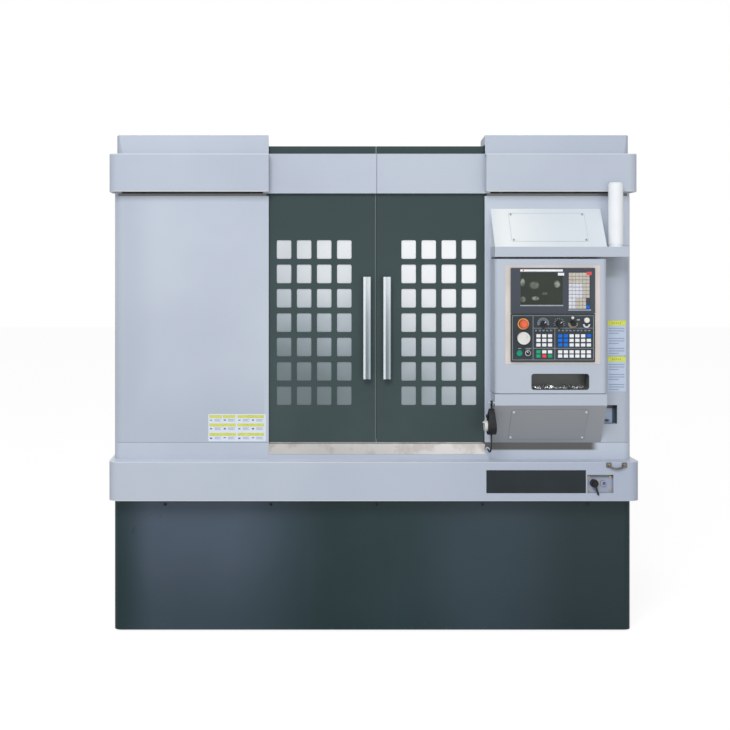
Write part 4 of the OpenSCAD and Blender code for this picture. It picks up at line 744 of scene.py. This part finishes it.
def plate_inside(low, high, rim=0.0022):
    """1 on a plate but not on its rim."""
    return inside(tree, (PLATE_LOW.x + rim, -1, low + rim), (PLATE_HIGH.x - rim, 0, high - rim))


on_base = span(tree, Z, 0.8, 1.2)
rims = inverse(plus(plate_inside(*BASE_PLATE), plate_inside(*HOOD_PLATE)))
# The plate on the base takes the painted shade of its slope, and the plate on the hood the painted
# highlight of the hood.
layer(plate_paint, on_base, SLOPE_SHADED_TONES[0])
layer(plate_paint, rims, (186, 196, 206), 0.8)
layer(plate_paint, times(rims, on_base), (116, 120, 125), 0.7)
dress(plate_paint, "access_covers")
print("plates", round(PLATE_HIGH.x - PLATE_LOW.x, 3), "m wide")

# %% [markdown]
# ## Building small pieces
# Keys, rings and lines are too many to shape by hand. Each is a box, a disc or an arc, so a list of
# such parts becomes one mesh with one finish. A bevel modifier then rounds the edges that catch the
# light.

# %% Boxes, discs and arcs as lists of corners
def block(low, high):
    """Corners and faces of a box."""
    x, y, z = zip(low, high)
    corners = [(x[i], y[j], z[k]) for i in (0, 1) for j in (0, 1) for k in (0, 1)]
    faces = [(0, 1, 3, 2), (4, 6, 7, 5), (0, 4, 5, 1), (2, 3, 7, 6), (0, 2, 6, 4), (1, 5, 7, 3)]
    return corners, faces


def disc(x, z, front, back, radius, sides):
    """A round plate that faces the front."""
    angles = [2 * math.pi * i / sides for i in range(sides)]
    corners = [(x + radius * math.cos(t), y, z + radius * math.sin(t))
               for y in (front, back) for t in angles]
    faces = [tuple(range(sides)), tuple(range(2 * sides - 1, sides - 1, -1))]
    faces += [(i, sides + i, sides + (i + 1) % sides, (i + 1) % sides) for i in range(sides)]
    return corners, faces


def arc(middle, radii, levels, turn=(0, 360), steps=24, upright=False):
    """A section of two radii and two levels, carried round Y, or round Z if upright.

    The turn is in degrees, and a full turn closes on itself.
    """
    (inner, outer), (low, high) = radii, levels
    start, end = (math.radians(angle) for angle in turn)
    closed = turn[1] - turn[0] == 360
    corners = []
    for i in range(steps if closed else steps + 1):
        t = start + (end - start) * i / steps
        for radius, level in ((inner, low), (outer, low), (outer, high), (inner, high)):
            a, b = middle[0] + radius * math.cos(t), middle[1] + radius * math.sin(t)
            corners.append((a, b, level) if upright else (a, level, b))
    faces = [] if closed else [(0, 1, 2, 3), tuple(4 * steps + k for k in (0, 3, 2, 1))]
    for i in range(steps):
        a, b = 4 * i, 4 * (i + 1) % len(corners)
        faces += [(a + k, b + k, b + (k + 1) % 4, a + (k + 1) % 4) for k in range(4)]
    return corners, [face[::-1] for face in faces] if upright else faces


def build(name, parts, material, body="console", bevel=0.0):
    """One object from many parts, on a body."""
    corners, faces = [], []
    for part_corners, part_faces in parts:
        start = len(corners)
        corners += part_corners
        faces += [tuple(start + i for i in face) for face in part_faces]
    mesh = new_mesh(name, corners, faces, smooth=bevel > 0)
    mesh.materials.append(material)
    piece = new_object(name, mesh)
    if bevel > 0:
        rounding = piece.modifiers.new("rounding", "BEVEL")
        rounding.width = bevel
        rounding.segments = 3
        piece.modifiers.new("flat_faces", "WEIGHTED_NORMAL")
    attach(piece, body)
    return piece


print("part helpers ready")

# %% [markdown]
# ## The key field
# The machine panel has two groups of square caps. A cap's colour says what it does: blue for the
# axes, green and red for start and stop, white for the rest. Rows of letters say where each colour
# goes, as they are easy to compare with a panel, and each colour is one object.

# %% Keys of the machine panel
PANEL_LOW, PANEL_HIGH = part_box("machine_panel")
PANEL_T = 0.008
PANEL_FACE = PANEL_HIGH.y - PANEL_T
KEY_W, KEY_H, KEY_T = 0.019, 0.0145, 0.003
KEY_ROWS = (0.1185, 0.0980, 0.0775, 0.0465, 0.0275)
COLOURS = {"w": "white", "b": "blue", "g": "green", "r": "red", "t": "beige", "d": "dark"}
GROUPS = (
    (0.1235, 0.0260, ("www", "www", "www", "gww", "grg")),
    (0.2210, 0.0258, ("bbwwwb", "bbwwww", "bbwwww", "wwwwww", "wwwwww")),
)


def sort_caps(caps, letters, cap_at):
    """Puts the cap of each letter with the caps of its colour."""
    for row, line in enumerate(letters):
        for column, letter in enumerate(line):
            caps.setdefault(COLOURS[letter], []).append(cap_at(column, row))


def key_group(start, pitch):
    def cap_at(column, row):
        x, z = PANEL_LOW.x + start + column * pitch, PANEL_LOW.z + KEY_ROWS[row]
        return block((x - KEY_W / 2, PANEL_FACE - KEY_T, z - KEY_H / 2),
                     (x + KEY_W / 2, PANEL_FACE, z + KEY_H / 2))
    return cap_at


caps = {}
for start, pitch, letters in GROUPS:
    sort_caps(caps, letters, key_group(start, pitch))

DULL = {"cloud": 30, "gloss": 0.2}
key_white = finish("key_white", (232, 236, 242), (244, 246, 250), rough=0.4, cloud=30)
key_blue = finish("key_blue", (0, 106, 222), (10, 124, 238), **DULL)
key_green = finish("key_green", (14, 160, 112), (28, 176, 128), **DULL)
key_red = finish("key_red", (226, 70, 72), (238, 90, 90), **DULL)
key_finish = {"white": key_white, "blue": key_blue, "green": key_green, "red": key_red}
for colour, material in key_finish.items():
    keys = build("keys_" + colour, caps[colour], material, bevel=0.0012)
    if colour == "white":
        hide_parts("panel_keys")
print({colour: len(parts) for colour, parts in caps.items()})

# %% [markdown]
# ## The letter pad
# Beside the screen sits a pad of small beige and white caps, with a blue one in the corner. Their
# prints are too small to read, so fine specks in the finish stand for them.

# %% Keys of the letter pad
def specked(name, dark, light, speck):
    material = finish(name, dark, light, cloud=40)
    tree = material.node_tree
    layer(material, ramp(noise(tree, 260, 2), 0.60, 0.66), speck, 0.6)
    return material


PAD_LEFT, PAD_TOP = PANEL_LOW.x + 0.2595, PANEL_LOW.z + 0.4020
PAD_PITCH_X, PAD_PITCH_Z, PAD_KEY = 0.0157, 0.0163, 0.0146
PAD_PROUD, PAD_SUNK = 0.001, 0.0019
PAD_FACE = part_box("display_unit")[0].y


def pad_cap(column, row):
    x, z = PAD_LEFT + column * PAD_PITCH_X, PAD_TOP - row * PAD_PITCH_Z
    return block((x, PAD_FACE - PAD_PROUD, z - PAD_KEY), (x + PAD_KEY, PAD_FACE + PAD_SUNK, z))


pad = {}
sort_caps(pad, ["tttttt"] * 3 + ["wwwwtt"] * 4 + ["wwtttd"] * 2 + ["wwtttb"], pad_cap)
pad_beige = specked("pad_beige", (196, 190, 178), (206, 200, 188), (132, 126, 118))
pad_white = specked("pad_white", (216, 218, 228), (226, 228, 238), (150, 152, 164))
pad_finish = {"beige": pad_beige, "white": pad_white, "blue": key_blue, "dark": bezel_paint}
for colour, material in pad_finish.items():
    build("pad_" + colour, pad[colour], material, bevel=0.0006)
print({colour: len(parts) for colour, parts in pad.items()})

# %% [markdown]
# ## Lines and dials on the panel film
# Thin pale lines part the panel film into fields. The two override dials have printed scales, the
# mode dial a tan half-ring. Printed things have almost no thickness, so each is a flat part a third
# of a millimetre proud of the film, which keeps it clear of the face behind it.

# %% Lines on the film
LINE, PRINT, SUNK = 0.0016, 0.0003, 0.0002


def printed(x, z):
    """A flat print on the film between the ends of x and of z."""
    low = (PANEL_LOW.x + x[0], PANEL_FACE - PRINT, PANEL_LOW.z + z[0])
    high = (PANEL_LOW.x + x[1], PANEL_FACE + SUNK, PANEL_LOW.z + z[1])
    return block(low, high)


def line_x(start, end, height):
    return printed((start, end), (height - LINE / 2, height + LINE / 2))


def line_z(along, start, end):
    return printed((along - LINE / 2, along + LINE / 2), (start, end))


LEFT, RIGHT, LOW, TOP = 0.007, 0.371, 0.010, 0.209
BUTTONS_EDGE, KEYS_EDGE, KNOBS_EDGE, ROW_EDGE = 0.0995, 0.1975, 0.1530, 0.0625
lines = [line_x(LEFT, RIGHT, height) for height in (LOW, TOP)]
lines += [line_z(along, LOW, TOP) for along in (LEFT, RIGHT, BUTTONS_EDGE)]
lines += [line_z(KEYS_EDGE, LOW, KNOBS_EDGE)]
lines += [line_x(BUTTONS_EDGE, RIGHT, height) for height in (KNOBS_EDGE, ROW_EDGE)]
line_grey = finish("line_grey", (156, 167, 174), (170, 181, 188), rough=0.5, cloud=30)
build("panel_lines", lines, line_grey)
print("panel has", len(lines), "lines")

# %% Scales and ticks of the dials
KNOB_Z = PANEL_LOW.z + 0.174
FEED_X, SPEED_X, MODE_X = (PANEL_LOW.x + along for along in (0.145, 0.217, 0.279))
DIAL_FACE = PANEL_FACE - 0.001 - PRINT
scale_grey = finish("scale_grey", (92, 104, 114), (104, 116, 126), rough=0.5, cloud=30)
scale_white = finish("scale_white", (206, 210, 214), (220, 224, 228), rough=0.5, cloud=30)
scale_tan = finish("scale_tan", (132, 126, 108), (146, 140, 122), rough=0.5, cloud=60)


def scale(x, radii, turn):
    return arc((x, KNOB_Z), radii, (DIAL_FACE, DIAL_FACE + 0.0005), turn)


def tick(x, radii, angle, spread=1.2):
    levels = (DIAL_FACE - SUNK, DIAL_FACE + 0.0004)
    return arc((x, KNOB_Z), radii, levels, (angle - spread, angle + spread), 1)


ticks = [tick(FEED_X, (0.0225, 0.0255), angle) for angle in range(-10, 191, 20)]
ticks += [tick(SPEED_X, (0.0185, 0.0250), angle) for angle in range(-20, 201, 22)]
build("feed_scale", [scale(FEED_X, (0.013, 0.0265), (-20, 200))], scale_grey)
build("dial_ticks", ticks, scale_white)
build("mode_scale", [scale(MODE_X, (0.0122, 0.0222), (170, 370))], scale_tan)
print("dials have", len(ticks), "ticks")

# %% [markdown]
# ## Buttons, caps and pointers
# The emergency stop has a yellow collar round a red head, so that nobody misses it. The collar is a
# ring and not a disc, because the head sinks into it when it is pushed. The knobs and the key
# switch have white pointers. Two white caps, a half ring and bars of print fill the rest of the
# panel.

# %% Collar, pointers and caps
BUTTON_X, STOP_Z = PANEL_LOW.x + 0.055, PANEL_LOW.z + 0.172
STOP_LOW, STOP_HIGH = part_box("estop_button")
HEAD_R, HEAD_GAP, COLLAR_R = (STOP_HIGH.x - STOP_LOW.x) / 2, 0.0006, 0.0253
collar_yellow = finish("collar_yellow", (236, 158, 66), (244, 176, 84), rough=0.35, cloud=30)
levels = (PANEL_FACE - 0.0055, PANEL_FACE - 0.0008)
collar = arc((BUTTON_X, STOP_Z), (HEAD_R + HEAD_GAP, COLLAR_R), levels, steps=64)
build("stop_collar", [collar], collar_yellow, bevel=0.001)


def pointer(name, angle, body, reach=0.0115, spread=11):
    """A white mark on a knob, turned clockwise from the top."""
    x, z = middle_of(name, X, Z)
    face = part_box(name)[0].y
    turn = (90 - angle - spread, 90 - angle + spread)
    piece = arc((x, z), (0.001, reach), (face - PRINT, face + SUNK), turn, 3)
    build(name + "_mark", [piece], key_white, body)


pointer("feed_knob", 40, "feed")
pointer("spindle_knob", 45, "speed")
pointer("key_switch", -35, "key", 0.0096, 14)

CAP_X = PANEL_LOW.x + 0.339
caps_pair = [disc(CAP_X, KNOB_Z + 0.015, PANEL_FACE - 0.016, PANEL_FACE, 0.012, 48)]
caps_pair += [disc(MODE_X - 0.002, KNOB_Z + 0.0255, PANEL_FACE - 0.008, PANEL_FACE, 0.0065, 32)]
ring_levels = (PANEL_FACE - 0.006, PANEL_FACE)
half_ring = arc((CAP_X, KNOB_Z - 0.004), (0.009, 0.0155), ring_levels, (175, 365))
build("white_caps", caps_pair, white_plastic, bevel=0.0015)
build("cap_ring", [half_ring], scale_white)
print("caps in place")


# %% Captions, as bars
def caption(along, height, width, tall=0.0018):
    """A bar of print, from its left end."""
    return printed((along, along + width), (height - tall / 2, height + tall / 2))


words = [caption(0.032, 0.0615, 0.014, 0.0030), caption(0.297, 0.1905, 0.013, 0.0060)]
words += [caption(0.066, 0.0620, 0.027), caption(0.066, 0.0585, 0.020)]
for start, count in ((0.108, 5), (0.212, 9)):
    for i in range(count):
        along = start + 0.0168 * i
        words.append(caption(along, 0.1440, 0.0085 + 0.0018 * (i % 3)))
        words.append(caption(along + 0.001, 0.1405, 0.0065 + 0.0021 * (i % 2)))
build("captions", words, line_grey)
print(len(words), "words in place")


# %% Strips and labels round the screen and the pad
SCREEN_LOW, SCREEN_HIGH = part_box("screen")
LEFT_X, RIGHT_X, LOW_Z, TOP_Z = SCREEN_LOW.x, SCREEN_HIGH.x, SCREEN_LOW.z, SCREEN_HIGH.z
LABEL_T = 0.0005


def flat_label(name, x, z, material, face=PAD_FACE):
    build(name, [block((x[0], face - LABEL_T, z[0]), (x[1], face + SUNK, z[1]))], material)


bar = (TOP_Z + 0.006, TOP_Z + 0.0155)
dot = disc(LEFT_X + 0.012, sum(bar) / 2, PAD_FACE - 0.0009, PAD_FACE, 0.0035, 24)
flat_label("strip", (LEFT_X - 0.002, RIGHT_X + 0.002), bar, key_white)
flat_label("small_label", (RIGHT_X - 0.020, RIGHT_X + 0.008), (TOP_Z - 0.012, TOP_Z), key_white)
build("strip_dot", [dot], key_red)
flat_label("pad_label", (PAD_LEFT + 0.080, PAD_LEFT + 0.103), (PAD_TOP - 0.010, PAD_TOP + 0.004),
           key_red, PAD_FACE - PAD_PROUD)
flat_label("screen_sill", (LEFT_X - 0.002, RIGHT_X + 0.004), (LOW_Z - 0.006, LOW_Z - 0.001),
           line_grey)
flat_label("pad_sill", (PAD_LEFT - 0.002, PAD_LEFT + 0.100), (PAD_TOP - 0.170, PAD_TOP - 0.165),
           line_grey)
print("labels in place")

# %% [markdown]
# ## The screen
# A dead screen is a dark olive glass with a few pale smears from hands, and pale painted
# reflections of the hall that it mirrors. Each is a soft oval over the dark tone, and noise frays
# its edge.

# %% Screen glass
SMEARS_AND_GLARE = (
    (0.663, 1.605, 0.011, 0.019, 0.75), (0.7165, 1.592, 0.024, 0.018, 0.35),
    (0.8187, 1.597, 0.015, 0.017, 0.8), (0.7207, 1.5325, 0.018, 0.010, 0.7),
    (0.6654, 1.528, 0.013, 0.014, 0.4), (0.763, 1.554, 0.014, 0.007, 0.3),
)
screen_glass = finish("screen_glass", (30, 38, 30), (38, 46, 36), rough=0.2, cloud=8, gloss=0.2)
tree = screen_glass.node_tree
fray = plus(0.35, times(ramp(noise(tree, 70, 3), 0.35, 0.6), 0.65))
for x, z, half_w, half_h, strength in SMEARS_AND_GLARE:
    smear_and_glare = times(oval(tree, x, z, half_w, half_h), fray)
    layer(screen_glass, smear_and_glare, (166, 174, 160), strength)
dress(screen_glass, "screen")
print(len(SMEARS_AND_GLARE), "smears on the screen")

# %% [markdown]
# ## Labels on the sheets
# The instruction labels are plain fields here: yellow bars over pale bodies, with faint bars for
# the lines of print. The nameplate on the belt is left bare and dark.

# %% Label fields
label_text = finish("label_text", (142, 157, 186), (150, 165, 193), rough=0.5, cloud=12)
label_yellow = specked("label_yellow", (210, 214, 94), (220, 223, 108), (150, 155, 80))
label_bright = finish("label_bright", (212, 218, 62), (222, 228, 78), cloud=30)
label_ink = finish("label_ink", (150, 161, 186), (162, 173, 196), rough=0.5, cloud=30)
label_icon = finish("label_icon", (82, 90, 122), (104, 112, 142), rough=0.5, cloud=120)
label_title = finish("label_title", (164, 166, 60), (172, 174, 70), rough=0.5, cloud=30)
plate_dark = finish("plate_dark", (28, 37, 42), (34, 44, 49), rough=0.4, cloud=5, gloss=0.25)
chart = inside(plate_dark.node_tree, (-0.80, -0.83, 0.86), (-0.45, -0.78, 1.01))
notices = inside(plate_dark.node_tree, (1.05, -0.83, 1.05), (1.19, -0.78, 1.45))
layer(plate_dark, chart, (222, 230, 243))
layer(plate_dark, notices, (194, 208, 228))
dress(plate_dark, "label_plates")
print("plates dressed")

# %% Bars, lines and symbols of the chart
LABEL_FACE = FRONT - 0.001
BAR_T, INK_T, TITLE_T = 0.0004, 0.0003, 0.0006
FIRST_ROW, SECOND_ROW, THIRD_ROW = 0.9935, 0.9545, 0.9115
LEFT_COLUMN, RIGHT_COLUMN = -0.752, -0.622


def on_label(left, width, top, height, proud):
    """A flat bar on a label, from its upper left corner."""
    low = (left, LABEL_FACE - proud, top - height)
    return block(low, (left + width, LABEL_FACE + SUNK, top))


bars, marks, icons = [], [], []
for row, top in enumerate((FIRST_ROW, SECOND_ROW, THIRD_ROW)):
    for left in (LEFT_COLUMN, RIGHT_COLUMN):
        parted = row == 0 and left == LEFT_COLUMN
        for start, width in ((0.0, 0.058), (0.062, 0.058)) if parted else ((0.0, 0.122),):
            bars.append(on_label(left + start, width, top, 0.0135, BAR_T))
        for start, width in ((0.024, 0.030), (0.086, 0.032)):
            for line in range(3):
                drop = 0.0185 + 0.0042 * line
                mark_w = width - 0.007 * (line % 2)
                marks.append(on_label(left + start, mark_w, top - drop, 0.0020, INK_T))
        for half, (start, drop) in enumerate(((0.003, 0.0215), (0.066, 0.0205))):
            tall = 0.004 + 0.0015 * ((row + half) % 3)
            icons.append(on_label(left + start, 0.010, top - drop, tall, INK_T))
build("chart_bars", bars, label_yellow, "machine")
build("chart_marks", marks, label_ink, "machine")
build("chart_icons", icons, label_icon, "machine")
print(len(bars), "bars,", len(icons), "symbols")

# %% The two notices
NOTICE_LEFT, TEXT_LEFT, TITLE_LEFT = 1.0805, 1.085, 1.100
bars, marks, titles = [], [], []
for top in (1.428, 1.262):
    bars.append(on_label(NOTICE_LEFT, 0.083, top - 0.0005, 0.0215, BAR_T))
    for i in range(5):
        titles.append(on_label(TITLE_LEFT + i * 0.009, 0.005, top - 0.0085, 0.006, TITLE_T))
    for i in range(11):
        if i % 4 != 3:
            width = 0.072 if i % 4 != 2 else 0.046
            marks.append(on_label(TEXT_LEFT, width, top - 0.034 - i * 0.0115, 0.0042, INK_T))
build("notice_bars", bars, label_bright, "machine")
build("notice_titles", titles, label_title, "machine")
build("notice_lines", marks, label_text, "machine")
print("notices have", len(marks), "lines")

# %% [markdown]
# ## Chips in the tray
# The tray under the panel holds curls of bright swarf. A curl is a thin ribbon wound as a loose
# helix, so each one is swept from a formula. One seed fixes all their sizes and headings, so every
# run gives the same.

# %% Curled chips
TRAY_LOW, TRAY_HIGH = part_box("chips")
TRAY_RIM, CURLS = 0.006, 26
random.seed(11)


def curl(centre, length, radius, twist, width, heading, steps=40):
    """A ribbon that winds along a short line."""
    corners = []
    along = Vector((math.cos(heading), math.sin(heading), 0))
    side = Vector((-math.sin(heading), math.cos(heading), 0))
    up = Vector((0, 0, 1))
    for i in range(steps + 1):
        t = i / steps
        angle = twist * 2 * math.pi * t
        reach = radius * (0.75 + 0.25 * math.sin(3 * math.pi * t))
        out = side * math.cos(angle) + up * math.sin(angle)
        middle = centre + along * length * (t - 0.5) + out * reach
        for offset in (-width / 2, width / 2):
            corners.append(tuple(middle + along * offset))
    return corners, [(2 * i, 2 * i + 1, 2 * i + 3, 2 * i + 2) for i in range(steps)]


curls = []
for i in range(CURLS):
    across = (i + 0.5) / CURLS
    radius = random.uniform(0.005, 0.0115)
    place_x = TRAY_LOW.x + TRAY_RIM + across * (TRAY_HIGH.x - TRAY_LOW.x - 2 * TRAY_RIM)
    place_y = random.uniform(TRAY_LOW.y + 0.014, TRAY_HIGH.y - 0.010)
    centre = Vector((place_x, place_y, TRAY_LOW.z + radius + 0.0005))
    curls.append(curl(centre, random.uniform(0.016, 0.036), radius, random.uniform(1.2, 2.6),
                      random.uniform(0.003, 0.006), random.uniform(-0.9, 0.9)))
swarf = finish("swarf", (84, 88, 92), (248, 250, 252), rough=0.22, metal=0.9, cloud=160)
chips = build("swarf_curls", curls, swarf)
chips.modifiers.new("ribbon_thickness", "SOLIDIFY").thickness = 0.0004
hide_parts("chips")
print(len(curls), "curls")

# %% [markdown]
# ## The gap under the bands at the corners
# A strip behind each side panel closes the gap under the band above it, and at the rounded corners
# a bent strip carries it on to the side.

# %% Bent strips
BEND_R, SHEET, CLEAR = 0.035, 0.003, 0.0002
BEND_X, BEND_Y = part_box("right_enclosure")[1].x - BEND_R, FRONT + BEND_R
STRIP_R = BEND_R - SHEET - CLEAR
radii, levels = (STRIP_R - SHEET, STRIP_R), (NECK_LOW - 0.018, NECK_LOW + 0.030)
strips = [arc((side * BEND_X, BEND_Y), radii, levels, turn, 12, upright=True)
          for side, turn in ((1, (-90, 0)), (-1, (180, 270)))]
build("corner_strips", strips, panel_paint, "machine")
print(len(strips), "bent strips")

# %% [markdown]
# ## Painted shade in the tray
# The storage tray is folded from the same sheet as the console's box, but little light reaches it.
# A darker tone inside is a painted shade, which makes the same point without a second piece.

# %% Painted shade in the tray
TRAY_X, TRAY_Z, TRAY_DEPTH = (0.700, 0.972), (1.112, 1.200), 0.084
BOX_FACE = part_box("console_box")[0].y
tray_shade = inside(console_paint.node_tree, (TRAY_X[0], BOX_FACE + 0.003, TRAY_Z[0]),
                (TRAY_X[1], BOX_FACE + TRAY_DEPTH, TRAY_Z[1]))
layer(console_paint, tray_shade, (106, 110, 107))
print("tray lined", TRAY_DEPTH, "m deep")

# %% [markdown]
# ## The stage
# A machine this size is shot on a pale floor that runs out of sight. The world is white to the
# camera and to reflections, and dimmer as a light, so that the sheets keep their own colour. A big
# lamp from the upper left gives shadows under and beside the console, which painted shade on the
# sheets deepens, and a weaker one fills from the right.

# %% Floor, world and lamps
WORLD_LIGHT = 0.40
bpy.ops.mesh.primitive_plane_add(size=FLOOR_SIZE, location=(0, 0, 0))
floor = bpy.context.object
floor.name = "floor"
material = bpy.data.materials.new("floor")
material.use_nodes = True
tree = material.node_tree
tree.nodes.clear()
matt = add(tree, "ShaderNodeBsdfDiffuse", Color=(0.9, 0.9, 0.9, 1))
glow = add(tree, "ShaderNodeEmission", Color=(1, 1, 1, 1), Strength=1.3)
rays = tree.nodes.new("ShaderNodeLightPath")
seen = times(rays.outputs["Is Camera Ray"], 0.65)
mix = tree.nodes.new("ShaderNodeMixShader")
for part, socket in zip((seen, matt.outputs[0], glow.outputs[0]), mix.inputs):
    tree.links.new(part, socket)
output = tree.nodes.new("ShaderNodeOutputMaterial")
tree.links.new(mix.outputs[0], output.inputs[0])
floor.data.materials.append(material)

world = bpy.data.worlds.new("world")
bpy.context.scene.world = world
world.use_nodes = True
tree = world.node_tree
rays = tree.nodes.new("ShaderNodeLightPath")
seen = calc("MAXIMUM", rays.outputs["Is Camera Ray"], rays.outputs["Is Glossy Ray"])
seen = calc("MAXIMUM", seen, rays.outputs["Is Transmission Ray"])
strength = plus(times(seen, 1.0 - WORLD_LIGHT), WORLD_LIGHT)
background = tree.nodes["Background"]
background.inputs["Color"].default_value = (1, 1, 1, 1)
connect(strength, background.inputs["Strength"])


def lamp(name, spot, target, size, power):
    data = bpy.data.lights.new(name, "AREA")
    data.shape = "SQUARE"
    data.size = size
    data.energy = power
    light = new_object(name, data)
    light.location = spot
    light.rotation_euler = (Vector(target) - Vector(spot)).to_track_quat("-Z", "Y").to_euler()


lamp("key", (-1.9, -7.4, 6.4), (-0.2, -0.8, 1.2), 3.6, 345)
lamp("fill", (2.4, -7.5, 1.4), (0.3, -0.8, 1.0), 3.0, 50)
bpy.context.scene.view_settings.view_transform = "Standard"
print("stage set")
